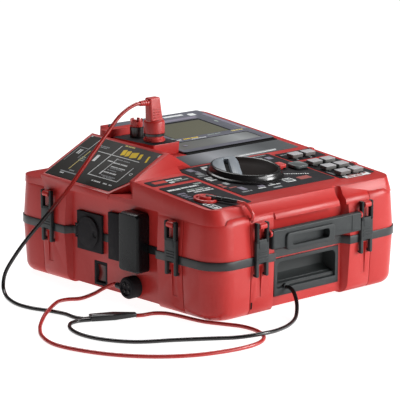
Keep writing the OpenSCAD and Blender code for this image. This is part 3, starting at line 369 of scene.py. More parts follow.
pocket_route = [
    LEAD_EXIT, (-30, -163.5, 23.5), (-31.5, -171, 20.5), (-36, -180, 12.5), (-45, -189.5, 5.5),
    (-58, -200, FLOOR_Z), (-80, -213, FLOOR_Z), (-103, -223.5, 4.2), (-119, -229, 5.9),
    (-133, -230.5, 7), (-147, -226.5, 6.5), (-158, -216, 4.5), (-169, -199, FLOOR_Z),
    (-203, -176, FLOOR_Z), (-236, -155, FLOOR_Z), (-254, -128, FLOOR_Z), (-260, -100, FLOOR_Z),
    (-255, -75, FLOOR_Z), (-243, -59, FLOOR_Z), (-232, -55.5, FLOOR_Z),
    (-223.8, -57.5, FLOOR_Z), (-217.4, -60.7, FLOOR_Z),
]
ring_angle = math.radians(RING_TURN)
ring_dir = Vector((math.cos(ring_angle), math.sin(ring_angle)*math.cos(TILT),
                   math.sin(ring_angle)*math.sin(TILT)))
console_up = Vector((0, -math.sin(TILT), math.cos(TILT)))
boot_end = (Vector((*RING_AT, console_z(RING_AT[1]))) + (RING_LIFT + RING_BOOT_Z)*console_up
            + RING_BOOT_L*ring_dir)
short_route = [
    tuple(boot_end), tuple(boot_end + 3*ring_dir), (-91, -158.6, 122.4), (-88.6, -163.4, 117.2),
    (-87, -166.6, 110.5), (-86.2, -163.6, 104.6),
]
black_lead = lead("black_test_lead", black_route, LEAD_D, "lead_graded", "black_lead")
red_lead = lead("red_test_lead", red_route, LEAD_D, "red_rubber", "red_lead")
pocket_lead = lead("pocket_test_lead", pocket_route, LEAD_D, "lead_black", "pocket_lead")
short_lead = lead("short_test_lead", short_route, SHORT_LEAD_D, "red_rubber", "short_lead")


# Modelling helpers: each piece starts as a primitive and is shaped in edit mode, in millimetres

def begin(add, **values):
    bpy.ops.object.select_all(action="DESELECT")
    add(**values)
    return bpy.context.object


def choose(obj, kind, test):
    """Selects the vertices, edges or faces whose place passes the test, in edit mode."""
    bpy.context.view_layer.objects.active = obj
    bpy.ops.object.mode_set(mode="EDIT")
    bpy.ops.mesh.select_mode(type=kind)
    bpy.ops.mesh.select_all(action="DESELECT")
    mesh = bmesh.from_edit_mesh(obj.data)
    if kind == "VERT":
        for v in mesh.verts:
            v.select_set(test(v.co))
    elif kind == "EDGE":
        for e in mesh.edges:
            e.select_set(test(e.verts[0].co, e.verts[1].co))
    else:
        for f in mesh.faces:
            f.select_set(test(f.calc_center_median(), f.normal))
    bmesh.update_edit_mesh(obj.data)


def whole(obj):
    choose(obj, "FACE", lambda c, n: True)


def leave():
    """Turns all faces to look outward and leaves edit mode."""
    bpy.ops.mesh.select_all(action="SELECT")
    bpy.ops.mesh.normals_make_consistent(inside=False)
    bpy.ops.object.mode_set(mode="OBJECT")


def outline(w, d, corner, steps=5, low=0.0):
    """Flat rounded rectangle at height low."""
    obj = begin(bpy.ops.mesh.primitive_plane_add, size=1, location=(0, 0, low))
    obj.scale = (w, d, 1)
    bpy.ops.object.transform_apply(location=True, rotation=True, scale=True)
    choose(obj, "VERT", lambda c: True)
    if corner > 0:
        bpy.ops.mesh.bevel(offset=corner, segments=steps, affect="VERTICES")
    whole(obj)
    return obj


def raise_by(h):
    bpy.ops.mesh.extrude_region_move(TRANSFORM_OT_translate={"value": (0, 0, h)})


def slab(w, d, h, corner, edge=0.0, low=0.0, steps=5, edge_steps=3, low_edge=0.0):
    """Rounded block standing on height low, with its top and bottom edges rounded."""
    obj = outline(w, d, corner, steps, low)
    raise_by(h)
    leave()
    for height, size in ((low + h, edge), (low, low_edge)):
        if size > 0:
            choose(obj, "EDGE", lambda a, b: abs(a.z - height) < 1e-4 and abs(b.z - height) < 1e-4)
            bpy.ops.mesh.bevel(offset=size, segments=edge_steps, affect="EDGES")
            leave()
    return obj


def dished(obj, top, thickness, depth):
    """Sinks a shallow dish into the face at height top."""
    choose(obj, "FACE", lambda c, n: abs(c.z - top) < 1e-4 and n.z > 0.9)
    bpy.ops.mesh.inset(thickness=thickness, depth=0)
    bpy.ops.mesh.inset(thickness=thickness, depth=-depth)
    leave()
    return obj


def lathe(profile, steps=48):
    """Circle drawn up through a profile of radius and height."""
    radius, height = profile[0]
    obj = begin(bpy.ops.mesh.primitive_circle_add, vertices=steps, radius=radius, fill_type="NGON",
                location=(0, 0, height))
    bpy.ops.object.transform_apply(location=True, rotation=True, scale=True)
    whole(obj)
    for r, z in profile[1:]:
        raise_by(z - height)
        bpy.ops.transform.resize(value=(r/radius, r/radius, 1))
        radius, height = r, z
    leave()
    return obj


def cut(obj, tool, operation="DIFFERENCE"):
    """Takes the tool away from a shape, or joins it on, and removes the tool."""
    bpy.ops.object.select_all(action="DESELECT")
    obj.select_set(True)
    bpy.context.view_layer.objects.active = obj
    change = obj.modifiers.new("cut", "BOOLEAN")
    change.operation = operation
    change.object = tool
    change.solver = "EXACT"
    bpy.ops.object.modifier_apply(modifier=change.name)
    bpy.data.objects.remove(tool)
    return obj


def soften(obj, width, segments=2, angle=35):
    """Rounds every edge sharper than angle."""
    bpy.ops.object.select_all(action="DESELECT")
    obj.select_set(True)
    bpy.context.view_layer.objects.active = obj
    change = obj.modifiers.new("soften", "BEVEL")
    change.width = width
    change.segments = segments
    change.limit_method = "ANGLE"
    change.angle_limit = math.radians(angle)
    bpy.ops.object.modifier_apply(modifier=change.name)
    return obj


def moved(obj, matrix):
    obj.data.transform(matrix)
    return obj


def copy_of(obj, matrix):
    twin = obj.copy()
    twin.data = obj.data.copy()
    bpy.context.scene.collection.objects.link(twin)
    return moved(twin, matrix)


def coat(obj, material):
    dress(obj, material)
    return obj


def joined(parts):
    bpy.ops.object.select_all(action="DESELECT")
    for part in parts:
        part.select_set(True)
    bpy.context.view_layer.objects.active = parts[0]
    if len(parts) > 1:
        bpy.ops.object.join()
    return bpy.context.object


def piece(name, parts, matrix, body, replaced=(), smooth=32):
    """Joins the parts into one named piece of the object, in metres, riding on its body."""
    obj = joined(parts if isinstance(parts, list) else [parts])
    obj.name = obj.data.name = name
    obj.data.transform(matrix)
    bpy.ops.object.select_all(action="DESELECT")
    obj.select_set(True)
    bpy.context.view_layer.objects.active = obj
    bpy.ops.object.shade_smooth_by_angle(angle=math.radians(smooth))
    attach(obj, body)
    if replaced:
        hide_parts(*([replaced] if isinstance(replaced, str) else replaced))
    return obj


def marks(name, groups, matrix, height=PRINT_T):
    """Printed marks: thin raised rectangles, as x, y, width, depth and turn in degrees for each material."""
    seed = slab(1, 1, height, 0.04, steps=1)
    copies = []
    for material, rects in groups.items():
        for x, y, w, d, *turn in rects:
            place = Matrix.Translation((x, y, 0)) @ turned(turn[0] if turn else 0, "Z")
            copies.append(coat(copy_of(seed, place @ Matrix.Diagonal((w, d, 1, 1))), material))
    bpy.data.objects.remove(seed)
    return piece(name, copies, matrix, "case")


# How near two corners are to be welded, in metres, and how flat faces are to be joined, in degrees
WELD_GAP, FLAT_ANGLE = 1e-6, 0.4


def merged(name):
    """Copy of a CAD node's mesh with its loose triangles joined into whole faces."""
    obj = bpy.data.objects.new(name + "_form", nodes[name].data.copy())
    bpy.context.scene.collection.objects.link(obj)
    bpy.ops.object.select_all(action="DESELECT")
    obj.select_set(True)
    whole(obj)
    bpy.ops.mesh.remove_doubles(threshold=WELD_GAP)
    whole(obj)
    bpy.ops.mesh.dissolve_limited(angle_limit=math.radians(FLAT_ANGLE))
    leave()
    return obj


def finished(name, width, segments=2, body="case", material=None):
    """Finishes a CAD shape: merged, its edges sharper than 30 degrees rounded, with a material."""
    obj = soften(merged(name), width*MM, segments, 30)
    dress(obj, material or SLOT_OF[name])
    return piece(name + "_form", obj, Matrix(), body, name)


def two_tone(obj, material, test):
    """Gives the faces that pass the test a second material."""
    obj.data.materials.append(MATS[material])
    for face in obj.data.polygons:
        if test(face):
            face.material_index = len(obj.data.materials) - 1
    return obj


# CAD shapes and how far their edges are rounded, in millimetres
FINISHES = [
    ("lower_shell", 1.0), ("upper_shell", 1.1), ("lower_corner_guards", 0.5), ("upper_corner_guards", 0.5),
    ("seal_band", 0.4), ("feet", 0.6), ("rear_hooks", 0.9), ("dial_panel", 0.3), ("jack_panel", 0.3),
    ("key_panel", 0.3), ("mains_socket", 0.6), ("slim_cover", 0.7), ("rocker_frame", 0.4),
    ("socket_crown", 0.35), ("ring_jack", 0.4), ("lead_joint", 1.0),
]
for name, width in FINISHES:
    finished(name, width, 3 if width >= 1 else 2)
# The function strip gets the painted sheen along X
finished("function_strip", 0.3, material="strip_painted_sheen")
finished("label_plate", 0.3, material="label_black")
finished("adapter_box", 1.2, 3, material="adapter_black")
# Faces inside the hand pocket get painted shade, so the recess reads evenly dark
POCKET_EDGE_Y = -0.1562
two_tone(finished("hand_pocket", 0.9), "recess_painted_shade", lambda face: face.center.y > POCKET_EDGE_Y)
two_tone(finished("terminal_block", 0.5), "case_red", lambda face: face.normal.z < 0.9)
# Faces of the display bezel that look towards -Y get near-black painted shade, as though in shadow
two_tone(finished("display_bezel", 0.5), "painted_shade_black", lambda face: face.normal.y < -0.6)
finished("rocker", 0.5, body="power_rocker", material="rocker_graded")
finished("mains_lid", 0.5, body="socket_lid")

# Latches, modelled at the middle of a face that looks towards -Y
UPRIGHT = turned(90, "X")


def upright(obj, x, z, material):
    """Stands a slab up so that its width runs along X, its depth along Z and its height towards -Y."""
    return coat(moved(obj, Matrix.Translation((x, 0, z)) @ UPRIGHT), material)


def latch_lever():
    parts = [upright(slab(18, 25, 3.7, 1.6, 0.8, low=1.4), 0, 72.5, "trim_slate"),
             upright(slab(11, 9, 0.5, 2.5, 0.3, low=5.0), 0, 79, "trim_slate")]
    for z in (64.5, 67.5, 70.5):
        parts.append(upright(slab(13, 1.3, 0.8, 0.6, 0.35, low=4.8), 0, z, "trim_slate"))
    for x in (-7, 7):
        parts.append(upright(slab(4, 22, 4.0, 1.9, 0.8, low=1.4), x, 92, "adapter_black"))
        parts.append(upright(slab(4, 19, 3.2, 1.6, 0.7, low=1.5), x, 54.5, "trim_slate"))
        parts.append(upright(slab(3, 2, 2.9, 0.4, 0.2, low=-1.2), x, 47, "trim_slate"))
    return joined(parts)


# Turn about Z, place along the face and distance of the face from the middle, for each latch
LATCHES = {
    "front_left": (0, -78, HALF_D), "front_right": (0, 78, HALF_D), "left_front": (-90, 103, HALF_W),
    "left_rear": (-90, -103, HALF_W), "right_front": (90, -103, HALF_W), "right_rear": (90, 103, HALF_W),
}
lever = latch_lever()
for place, (angle, shift, face) in LATCHES.items():
    matrix = Matrix.Scale(MM, 4) @ turned(angle, "Z") @ Matrix.Translation((shift, -face, 0))
    name = "latch_" + place
    piece(name + "_form", copy_of(lever, Matrix()), matrix, name + "_body", name)
bpy.data.objects.remove(lever)

# Handle: a bar with a round top edge and a raised grip, whose finger slot gets deeper to the right
HANDLE_Y, HANDLE_Z, HANDLE_T, HANDLE_DROP = -171.5, 89.0, 3.6, 17.0
GRIP_X, GRIP_W, GRIP_OUT = -12, 72, 6.0
HANDLE_W = 132
handle_bar = slab(HANDLE_W, HANDLE_DROP + HANDLE_T, 2*HANDLE_T, 1.5, 1.7, low=-HANDLE_T, low_edge=1.7,
                  edge_steps=4)
handle_bar = upright(handle_bar, 0, (HANDLE_T - HANDLE_DROP)/2, "trim_slate")
handle_grip = slab(GRIP_W, 18.5, 2*GRIP_OUT, 4.5, 1.3, low=-GRIP_OUT, low_edge=1.3)
handle_bar = cut(handle_bar, upright(handle_grip, GRIP_X, -10.75, "trim_slate"), "UNION")
slot_tool = moved(slab(GRIP_W - 17, 10.2, 12, 3.2, 0, low=0), turned(5, "Y"))
# The slot tool is coated in the recess painted shade, meant for the inside of the finger slot
handle_bar = cut(handle_bar, upright(slot_tool, GRIP_X - 1, -10.4, "recess_painted_shade"))
seam = upright(slab(1.0, 17.5, 0.45, 0.4, 0.2, low=HANDLE_T - 0.05), 52, -7, "trim_slate")
piece("handle_form", [handle_bar, seam], at(0, HANDLE_Y, HANDLE_Z), "handle_bail", "handle")

# Ledges in the hand pocket
ledges = []
for y, z, half in ((-155.0, 27.4, 42), (-150.0, 28.9, 41)):
    ledges.append(coat(moved(lathe([(0.5, -half), (0.8, 0.5 - half), (0.8, half - 0.5), (0.5, half)], 16),
                             Matrix.Translation((0, y, z)) @ turned(90, "Y")), "trim_slate"))
piece("pocket_ledges", ledges, at(0, 0, 0), "case")

# Dial, with its bowl, slanted flat and slot
DIAL_AT = (-8, -71)
DIAL_LIFT = 0.8
DIAL_TURN = 142
BOWL_R, BOWL_Z = 34.8, 2.9
DIAL_STEPS = 112
FLAT_X, DIAL_SLOT_X = 5, 20
dial_body = lathe([(41.4, 0), (42, 0.5), (42, 1.7), (41.3, 2.4), (40.2, 2.7), (39.6, 3.3), (38.6, 6.6),
                   (38.1, 8.2), (37.4, 8.9), (36.4, 9.0), (35.3, 8.5), (32.5, 6.4), (28.5, 4.1),
                   (25.0, 3.1), (0.6, 3.0)], DIAL_STEPS)
flat = lathe([(36.0, 2.6), (36.0, 9.5)], DIAL_STEPS)
whole(flat)
bpy.ops.mesh.bisect(plane_co=(FLAT_X, 0, 0), plane_no=(1, 0, 0), use_fill=True, clear_inner=True)
whole(flat)
bpy.ops.mesh.bisect(plane_co=(FLAT_X, 0, 5), plane_no=(-2.5, 0, 32.5), use_fill=True, clear_outer=True)
leave()
flat = cut(flat, moved(slab(6.4, 58, 6, 2.2, low=4.2), Matrix.Translation((DIAL_SLOT_X, 6, 0))))
soften(flat, 0.4, 2)
# The slot's floor is near-black painted shade, so the slot reads dark
slot_floor = moved(slab(6.2, 52, 0.3, 2.1, low=4.15), Matrix.Translation((DIAL_SLOT_X, 3, 0)))
coat(slot_floor, "painted_shade_black")
moved(slot_floor, turned(DIAL_TURN, "Z"))
moved(flat, turned(DIAL_TURN, "Z"))
dress(dial_body, "dial_black")
# Inside the bowl the dial gets the dark red-brown painted reflection
dial_body.data.materials.append(MATS["bowl_painted_red_reflection"])
for face in dial_body.data.polygons:
    if face.center.to_2d().length < BOWL_R and face.center.z > BOWL_Z:
        face.material_index = 1
# The slanted flat gets the bluish painted reflection
dress(flat, "flat_painted_reflection")
piece("dial_form", [dial_body, flat, slot_floor], on_console(*DIAL_AT, DIAL_LIFT), "dial_knob", "dial", 40)

# Keys and buttons
KEY_COLUMNS = (87, 107)
KEY_ROWS = (-51, -82, -103, -125)
KEY_LIFT = 2.0
STEM_R, STEM_LOW = 4, -13.2


def push_cap(width, depth, height, corner, edge, dish, material):
    cap = slab(width, depth, height, corner, edge, KEY_LIFT, low_edge=0.3)
    if dish:
        dished(cap, KEY_LIFT + height, 0.9, dish)
    stem = lathe([(STEM_R, STEM_LOW), (STEM_R, KEY_LIFT + 0.5)], 32)
    for part in (cap, stem):
        dress(part, material)
    return joined([cap, stem])


key_cap = push_cap(16.5, 11, 3.9, 1.5, 0.6, 0, "key_grey")
# The key caps' sides get painted shade, darker than the lit tops
two_tone(key_cap, "key_side_painted_shade", lambda face: face.normal.z < 0.35)
for i in range(8):
    place = on_console(KEY_COLUMNS[i % 2], KEY_ROWS[i//2])
    piece(f"key_cap_{i + 1}", copy_of(key_cap, Matrix()), place, f"key_{i + 1}_body", f"key_{i + 1}")
bpy.data.objects.remove(key_cap)
piece("test_cap", push_cap(12, 12, 3.7, 3, 0.9, 0.3, "button_red"), on_console(42, -73), "test_button_body",
      "test_button")
piece("pad_cap", push_cap(20, 18, 3.1, 5, 0.9, 0.4, "pad_grey"), on_console(62, -81), "pad_button_body",
      "pad_button")

# Display windows
window = coat(slab(87, 57, 1.1, 2, 0.2, low=0.6), "panel_black")
screen = coat(slab(83, 52.5, 0.3, 1, 0.1, low=1.6), "window_olive")
piece("display_window_form", [window, moved(screen, Matrix.Translation((0.3, -1.2, 0)))], on_console(56, 95),
      "case", "display_window")
# The lower window's glass gets the painted reflection along X
lower_glass = coat(slab(121, 26, 1.3, 2, 0.3, low=0.6), "glass_painted_reflection")
piece("lower_window_form", lower_glass, on_console(52, 41), "case", "lower_window")
# A near-black strip of painted shadow along the front edge of the display bezel, where its front face stands
# in shade
painted_shadow = coat(slab(138, 7.6, 1.0, 1.2, 0.3, low=-0.1), "painted_shade_black")
piece("painted_shadow_strip", painted_shadow, on_console(56, 18.6), "case")

# Bumps on the right edge of the console
for number, (y, length) in enumerate(((-31.5, 7), (-98.5, 9)), 1):
    bump = coat(slab(6, length, 4.2, 1.5, 0.7, low=-3), "case_red")
    piece(f"edge_bump_{number}", bump, on_console(132.5, y), "case")

# Small dark patch of painted shade beside a corner guard, standing in for a slot, leaning with the lower wall
# and just proud of it
GUARD_SLOT_AT, GUARD_SLOT_LEAN = (-87.5, -165.06, 14), 95
guard_slot_shade = moved(slab(2.2, 7.5, 0.8, 0.9, 0.1, low=-0.6), turned(GUARD_SLOT_LEAN, "X"))
piece("guard_slot_shade", coat(guard_slot_shade, "painted_shade_black"), at(*GUARD_SLOT_AT), "case")

# Terminals and the plugged lead
TERMINAL_X, BLOCK_TOP, PLUG_Y, POST_Y = -35, 152, 47, 77
SOCKET = [(11.6, 0), (12, 0.3), (12, 2.5), (11.6, 3), (10.5, 3), (10.5, 5.7), (10.2, 6)]
piece("lead_socket_form", coat(lathe(SOCKET, 72), "button_red"), at(TERMINAL_X, PLUG_Y, BLOCK_TOP), "case",
      "lead_socket")
CAP = [(11.0, 9.0), (11.8, 9.6), (11.8, 21.2), (11.4, 22.6), (10.4, 23.6), (9.0, 24.0)]
cap = coat(lathe(CAP, 72), "plug_red")
collar = coat(lathe([(11.3, 6), (11.8, 6.3), (11.8, 8.8), (11.3, 9.1), (4, 9.1)], 72), "dial_black")
box = slab(18, 12, 25.2, 3, 1.6, low=23.8)
BOX_UPPER_Z, BOX_TAPER, BOX_SHIFT = 40, (0.86, 0.84, 1), (-2.2, 0, 0)
choose(box, "VERT", lambda c: c.z > BOX_UPPER_Z)
bpy.ops.transform.resize(value=BOX_TAPER)
bpy.ops.transform.translate(value=BOX_SHIFT)
leave()
dress(box, "plug_red")
BOOT = [(2.6, 0), (2.9, 0.4), (2.9, 1.8), (2.6, 2.1), (2.6, 3.0), (3.1, 3.3), (3.1, 4.7), (2.8, 5.0),
        (2.8, 5.9), (3.3, 6.2), (3.3, 7.6), (3.0, 7.9), (3.0, 8.8), (3.6, 9.1), (3.7, 12)]
boot = coat(lathe(BOOT, 40), "plug_red")
offset = Vector(PLUG_BOOT) - Vector((TERMINAL_X, PLUG_Y, BLOCK_TOP))
moved(boot, Matrix.Translation(offset) @ turned(90, "Y"))
plug_ribs = []
for k in range(4):
    rib_place = Matrix.Translation((-1, -6.0 + 0.03*k, 27 + 3*k)) @ UPRIGHT
    plug_ribs.append(coat(moved(slab(9, 0.8, 1.0, 0.3, 0.2), rib_place), "plug_red"))
lead_plug = piece("lead_plug_form", [cap, collar, box, boot] + plug_ribs, at(TERMINAL_X, PLUG_Y, BLOCK_TOP),
                  "case", "lead_plug")
POST = [(5, -6), (5, 0), (7.2, 0), (7.5, 0.3), (7.5, 11.5), (7.0, 12), (5, 12), (5, 15.5), (4.5, 16),
        (2.5, 16), (2.05, 15.5), (2.05, 0.2)]
piece("test_socket_form", coat(lathe(POST, 56), "dial_black"), at(TERMINAL_X, POST_Y, BLOCK_TOP), "case",
      "test_socket")

# Ring plug with its boot
RING_DISC = [(6.6, 0), (7, 0.4), (7, 3.2), (6.4, 3.9), (4.8, 4.0), (4.5, 3.6), (0.5, 3.6)]
RING_BOOT = [(2.6, 0), (2.6, 9), (2.2, 9.5), (2.2, 11), (2.6, 11.5), (2.6, 17), (2.2, 17.5), (2.2, 19),
             (2.6, 19.5), (2.6, 26), (2.3, 27), (2.3, 28), (2.5, 29), (2.0, RING_BOOT_L)]
ring_disc = coat(lathe(RING_DISC, 56), "plug_red")
ring_boot = coat(lathe(RING_BOOT, 36), "black_rubber")
moved(ring_boot, turned(RING_TURN, "Z") @ Matrix.Translation((0, 0, RING_BOOT_Z)) @ turned(90, "Y"))
ring_plug = piece("ring_plug_form", [ring_disc, ring_boot], on_console(*RING_AT, RING_LIFT), "case",
                  "ring_plug")

# Round plug on the left side, facing -X
FACE_LEFT = Matrix(((0, 0, -1, 0), (0, 1, 0, 0), (1, 0, 0, 0), (0, 0, 0, 1)))
ROUND_AT = (-31, 17)
DRUM = [(12, 0.1), (12, 10.8), (11.4, 11.9), (10.6, 12.3), (10.4, 13.2), (9.9, 13.5), (8.5, 13.5),
        (8.2, 12.9), (8.0, 11.4), (1, 11.4)]
HOLE = [(1.9, 11.3), (1.9, 12.7), (1.6, 13.0), (1.2, 13.0), (1.1, 12.2), (0.3, 12.2)]
drum = coat(lathe(DRUM, 64), "panel_black")
holes, ridges = [], []
for k in range(4):
    hole_place = turned(45 + 90*k, "Z") @ Matrix.Translation((5, 0, 0))
    holes.append(coat(moved(lathe(HOLE, 24), hole_place), "dial_black"))
for k in range(18):
    ridge_place = turned(20*k, "Z") @ Matrix.Translation((11.3, 0, 0)) @ Matrix.Diagonal((1, 0.25, 1, 1))
    ridges.append(coat(moved(slab(1.4, 6, 9.0, 0.5, 0.3, low=1.0), ridge_place), "panel_black"))
cone = coat(lathe([(r + 0.3, z) for r, z in BOOT], 40), "black_rubber")
base = Vector((LEFT_WALL, ROUND_AT[0], ROUND_AT[1]))
inward = (Matrix.Translation(base) @ FACE_LEFT).inverted()
moved(cone, inward @ Matrix.Translation(ROUND_BOOT) @ turned(90, "X"))
round_plug = piece("round_plug_form", [drum, cone] + holes + ridges, at(*base, FACE_LEFT), "case",
                   "round_plug")

# Printed marks, as x, y, width and depth in millimetres, with a turn in degrees where they slant
COS_TILT = math.cos(TILT)


def console_marks(name, groups, lift):
    """Marks given by their plan places on the console."""
    rows = {colour: [(x, y/COS_TILT, *rest) for x, y, *rest in rects] for colour, rects in groups.items()}
    return marks(name, rows, on_console(0, 0, lift))


def print_row(x, y, length, size, along="x"):
    """Strokes of unequal width in a row, like a line of small print, from its low end at x, y."""
    row, run, k = [], 0.0, 0
    while run < length:
        stroke = 0.9 + 0.45*((5*k + 2) % 4)
        middle = run + stroke/2
        row.append((x + middle, y, stroke, size) if along == "x" else (x, y + middle, size, stroke))
        run += stroke + (1.5 if k % 5 == 4 else 0.5)
        k += 1
    return row


def upright_rows(*rows):
    """Rows of small print that run along Y, one after another."""
    return [stroke for row in rows for stroke in print_row(*row, along="y")]


def bar(x0, y0, x1, y1, width):
    """Straight printed line between two places."""
    turn = math.degrees(math.atan2(y1 - y0, x1 - x0))
    return ((x0 + x1)/2, (y0 + y1)/2, math.hypot(x1 - x0, y1 - y0), width, turn)


def ring(x, y, radius, width):
    """Printed ring of short strokes."""
    strokes = []
    for k in range(10):
        turn = k*math.pi/5
        strokes.append((x + radius*math.cos(turn), y + radius*math.sin(turn), width, 0.75*radius,
                        math.degrees(turn)))
    return strokes


def frame_of(x, y, w, d, width):
    """Printed rectangle of four lines."""
    return [(x, y - d/2, w, width), (x, y + d/2, w, width), (x - w/2, y, width, d), (x + w/2, y, width, d)]


console_marks("dial_marks", {
    "white_print": frame_of(18.4, -111.4, 12, 10, 1.6)
    + [(-30.7, -31, 10, 4), (-36, -37, 4, 8), (-9, -113.5, 3, 6)]
    + print_row(-60, -63, 9, 3) + print_row(-61, -67.5, 8, 3) + print_row(-60, -72, 9, 3.2)
    + print_row(-16, -116, 16, 2.4) + print_row(-33, -118.5, 10, 2.6)
    + [(31.5 + 2.4*k, -92.2 - 1.15*k, 1.7, 1.7 + 0.5*(k % 2), -26) for k in range(11)],
    "lilac_print": [(-24, -113, 8, 5), (-53, -33, 8, 9), (-48.6, -110, 7, 11), (60, -38, 8, 8),
                    (-50, -41, 5, 6)],
    "grey_print": [(-53, -48, 8, 8), (-52, -88, 6, 8), (-10, -124, 12, 3), (47, -35, 10, 4),
                   (18.4, -111.4, 6, 5)]
    + print_row(-62, -55, 12, 3) + print_row(-58, -120, 14, 2.6) + print_row(40, -27, 24, 2.6),
    "pink_print": [(41, -112, 17, 9), (-61, -89, 5, 5), (-62, -96, 6, 4)] + print_row(-60, -102, 10, 3),
}, PANEL_TOP)
console_marks("jack_marks", {
    "white_print": print_row(-126, -78.5, 16, 4) + print_row(-107, -77.8, 25, 3)
    + print_row(-103.5, -56.2, 6, 4)
    + print_row(-103, -49.6, 22, 2.6) + print_row(-109, -90.6, 30, 2.4) + print_row(-104, -95.6, 26, 2.4)
    + frame_of(-120.5, -141, 9, 19, 1.2) + print_row(-123, -147, 5, 3) + print_row(-123, -141, 5, 3)
    + print_row(-123, -135.5, 5, 3),
    "green_print": print_row(-98, -54.2, 20, 2.2) + print_row(-106, -86, 24, 2.2)
    + print_row(-84, -72.5, 9, 3.5),
    "red_print": [(-113, -50.5, 18, 7)],
    "lilac_print": print_row(-125, -93, 9, 3.5) + print_row(-125, -99, 7, 3) + print_row(-125, -104.5, 8, 3.5)
    + print_row(-125, -110.5, 7, 3) + [(-120.8, -121.5, 5, 9)],
}, PANEL_TOP)
console_marks("key_marks", {
    "white_print": [(100, -134.2, 38, 8.5)] + [(85, -58, 3, 1.2), (106, -58, 3, 1.2)],
    "grey_print": [(79, -116, 2, 14), (121, -103, 2.5, 20)] + print_row(79, -37, 20, 2.4),
}, PANEL_TOP)
console_marks("key_strip_marks", {
    "pink_print": print_row(88, -131.8, 28, 2.6) + print_row(84, -136.2, 20, 2.2),
}, PANEL_TOP + PRINT_T)
console_marks("bezel_marks", {
    "white_print": [(78, 143.5, 30, 4.5), (104, 139.5, 10, 8)] + print_row(7, 60.5, 10, 2.6)
    + print_row(30, 57.2, 22, 1.4),
    "yellow_print": print_row(21, 61, 21, 2.8),
    "pale_yellow_print": print_row(97, 62.6, 16, 2.8),
    "green_print": print_row(59, 62.2, 19, 2) + [(111, 104, 3, 6), (8, 67.5, 8, 2.4)],
    "lilac_print": [(56, 129.5, 92, 6), (119.5, 100, 6, 74), (5, 40, 5, 3)],
}, BEZEL_TOP)
marks("strip_ledge", {"white_print": [(62, -16.2, 60, 1.6)], "grey_print": [(62, -13.4, 64, 2)]},
      on_console(0, 0, PANEL_TOP), height=0.3)

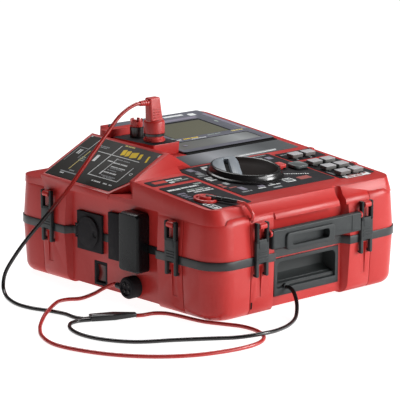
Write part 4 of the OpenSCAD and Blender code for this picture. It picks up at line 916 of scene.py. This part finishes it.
# The label plate leans out to the left; its marks are given on the plate itself
LABEL_AT = (-134, -5, 114.5)
LABEL_TURN = turned(-26.2, "Y") @ turned(2.6, "X")
label_place = at(*LABEL_AT, LABEL_TURN) @ Matrix.Translation((0, 0, PANEL_TOP))
SLANT = 19
label_lines = [
    bar(15.5, 63.6, 71.2, 63.6, 0.9), bar(16.3, 16.3, 16.3, 63.6, 0.9), bar(16.3, 16.3, 42.7, 16.3, 0.9),
    bar(53.8, 18, 53.8, 86, 0.8), bar(21, 49.6, 50.8, 49.6, 0.8), bar(52.5, 101, 80, 101, 0.6),
]
label_tab = [
    bar(27.1, 116, 53.1, 116, 0.8), bar(53.1, 101.4, 53.1, 116, 0.8), bar(35.4, 101.4, 53.1, 101.4, 0.8),
    bar(10.4, 78, 10.4, 104, 1.6),
]
marks("label_marks", {
    "yellow_print": [(62, 51.4, 9.5, 5.6, SLANT), (62, 44.4, 9.5, 5.6, SLANT), (62, 34.6, 9.5, 9.6, SLANT),
                     (62, 24.6, 9.5, 3.8, SLANT), (61, 12, 11, 2.4, SLANT)],
    "pale_yellow_print": upright_rows((73, 44.5, 15, 1.8)) + [bar(15.6, 95.8, 51, 95.8, 0.8)],
    "white_print": label_lines
    + [(42.8, 78, 11.5, 4.2, 8), (24, 49.6, 6, 2.2), (70.5, 3, 4, 1.6), (74.1, 117, 1.6, 2.4),
       (45.8, 110.6, 8, 1.6), (45.8, 107.6, 8, 1.6)]
    + upright_rows((43.1, 27, 21, 1.9), (26.2, 28, 18, 2.0), (43.9, 51.5, 8, 1.7), (36.6, 24, 20, 1.5),
                   (8.8, 35.8, 13, 1.9), (8.8, 25, 6, 1.7), (8.8, 17, 4, 1.4), (7.4, 95.7, 6, 1.6))
    + ring(32.8, 10.3, 1.7, 0.7),
    "grey_print": label_tab
    + upright_rows((49.4, 29, 20, 1.5), (34.2, 26, 18, 1.4), (30.4, 32, 12, 1.3), (20.4, 24, 20, 1.5),
                   (18.4, 26, 15, 1.3), (63.2, 77, 13, 1.5), (61, 79, 9, 1.3), (14.4, 85, 8, 1.6)),
    "green_print": upright_rows((33, 89.5, 7, 1.6), (36, 90.5, 7, 1.6), (39, 91.5, 6, 1.6)),
}, label_place)

# Floor, light and surroundings: a pale floor that glows nearly to white, as in the photograph
FLOOR_SIZE, FLOOR_DROP = 30, 0.0002
FLOOR_GREY, FLOOR_GLOW, FLOOR_ROUGHNESS = (0.3, 0.3, 0.3, 1), 0.95, 0.6
WHITE = (1, 1, 1, 1)
bpy.ops.mesh.primitive_plane_add(size=FLOOR_SIZE, location=(0, 0, -FLOOR_DROP))
floor = bpy.context.object
floor.name = "floor"
floor_mat = bpy.data.materials.new("floor")
floor_mat.use_nodes = True
floor_inputs = floor_mat.node_tree.nodes["Principled BSDF"].inputs
floor_inputs["Base Color"].default_value = FLOOR_GREY
floor_inputs["Emission Color"].default_value = WHITE
floor_inputs["Emission Strength"].default_value = FLOOR_GLOW
floor_inputs["Roughness"].default_value = FLOOR_ROUGHNESS
floor.data.materials.append(floor_mat)


def area_light(name, place, aim, size, power):
    """White area light at place, turned to aim, both in metres, with its power in watts."""
    data = bpy.data.lights.new(name, "AREA")
    data.shape = "RECTANGLE"
    data.size, data.size_y = size
    data.energy = power
    obj = bpy.data.objects.new(name, data)
    bpy.context.scene.collection.objects.link(obj)
    obj.location = place
    obj.rotation_euler = (Vector(aim) - Vector(place)).to_track_quat("-Z", "Y").to_euler()


area_light("key", (1.6, -1.7, 0.9), (0, 0, 0.08), (1.0, 0.8), 50)
area_light("front", (0.7, -2.2, 0.45), (0, 0, 0.08), (1.2, 0.7), 18)
area_light("top", (0.5, 0.9, 1.9), (0, 0, 0.1), (1.8, 1.2), 40)

world = bpy.data.worlds.new("studio")
bpy.context.scene.world = world
world.use_nodes = True
SKY_COLOUR, SKY_STRENGTH = (0.95, 0.96, 1.0, 1), 0.04
sky = world.node_tree.nodes["Background"].inputs
sky["Color"].default_value = SKY_COLOUR
sky["Strength"].default_value = SKY_STRENGTH
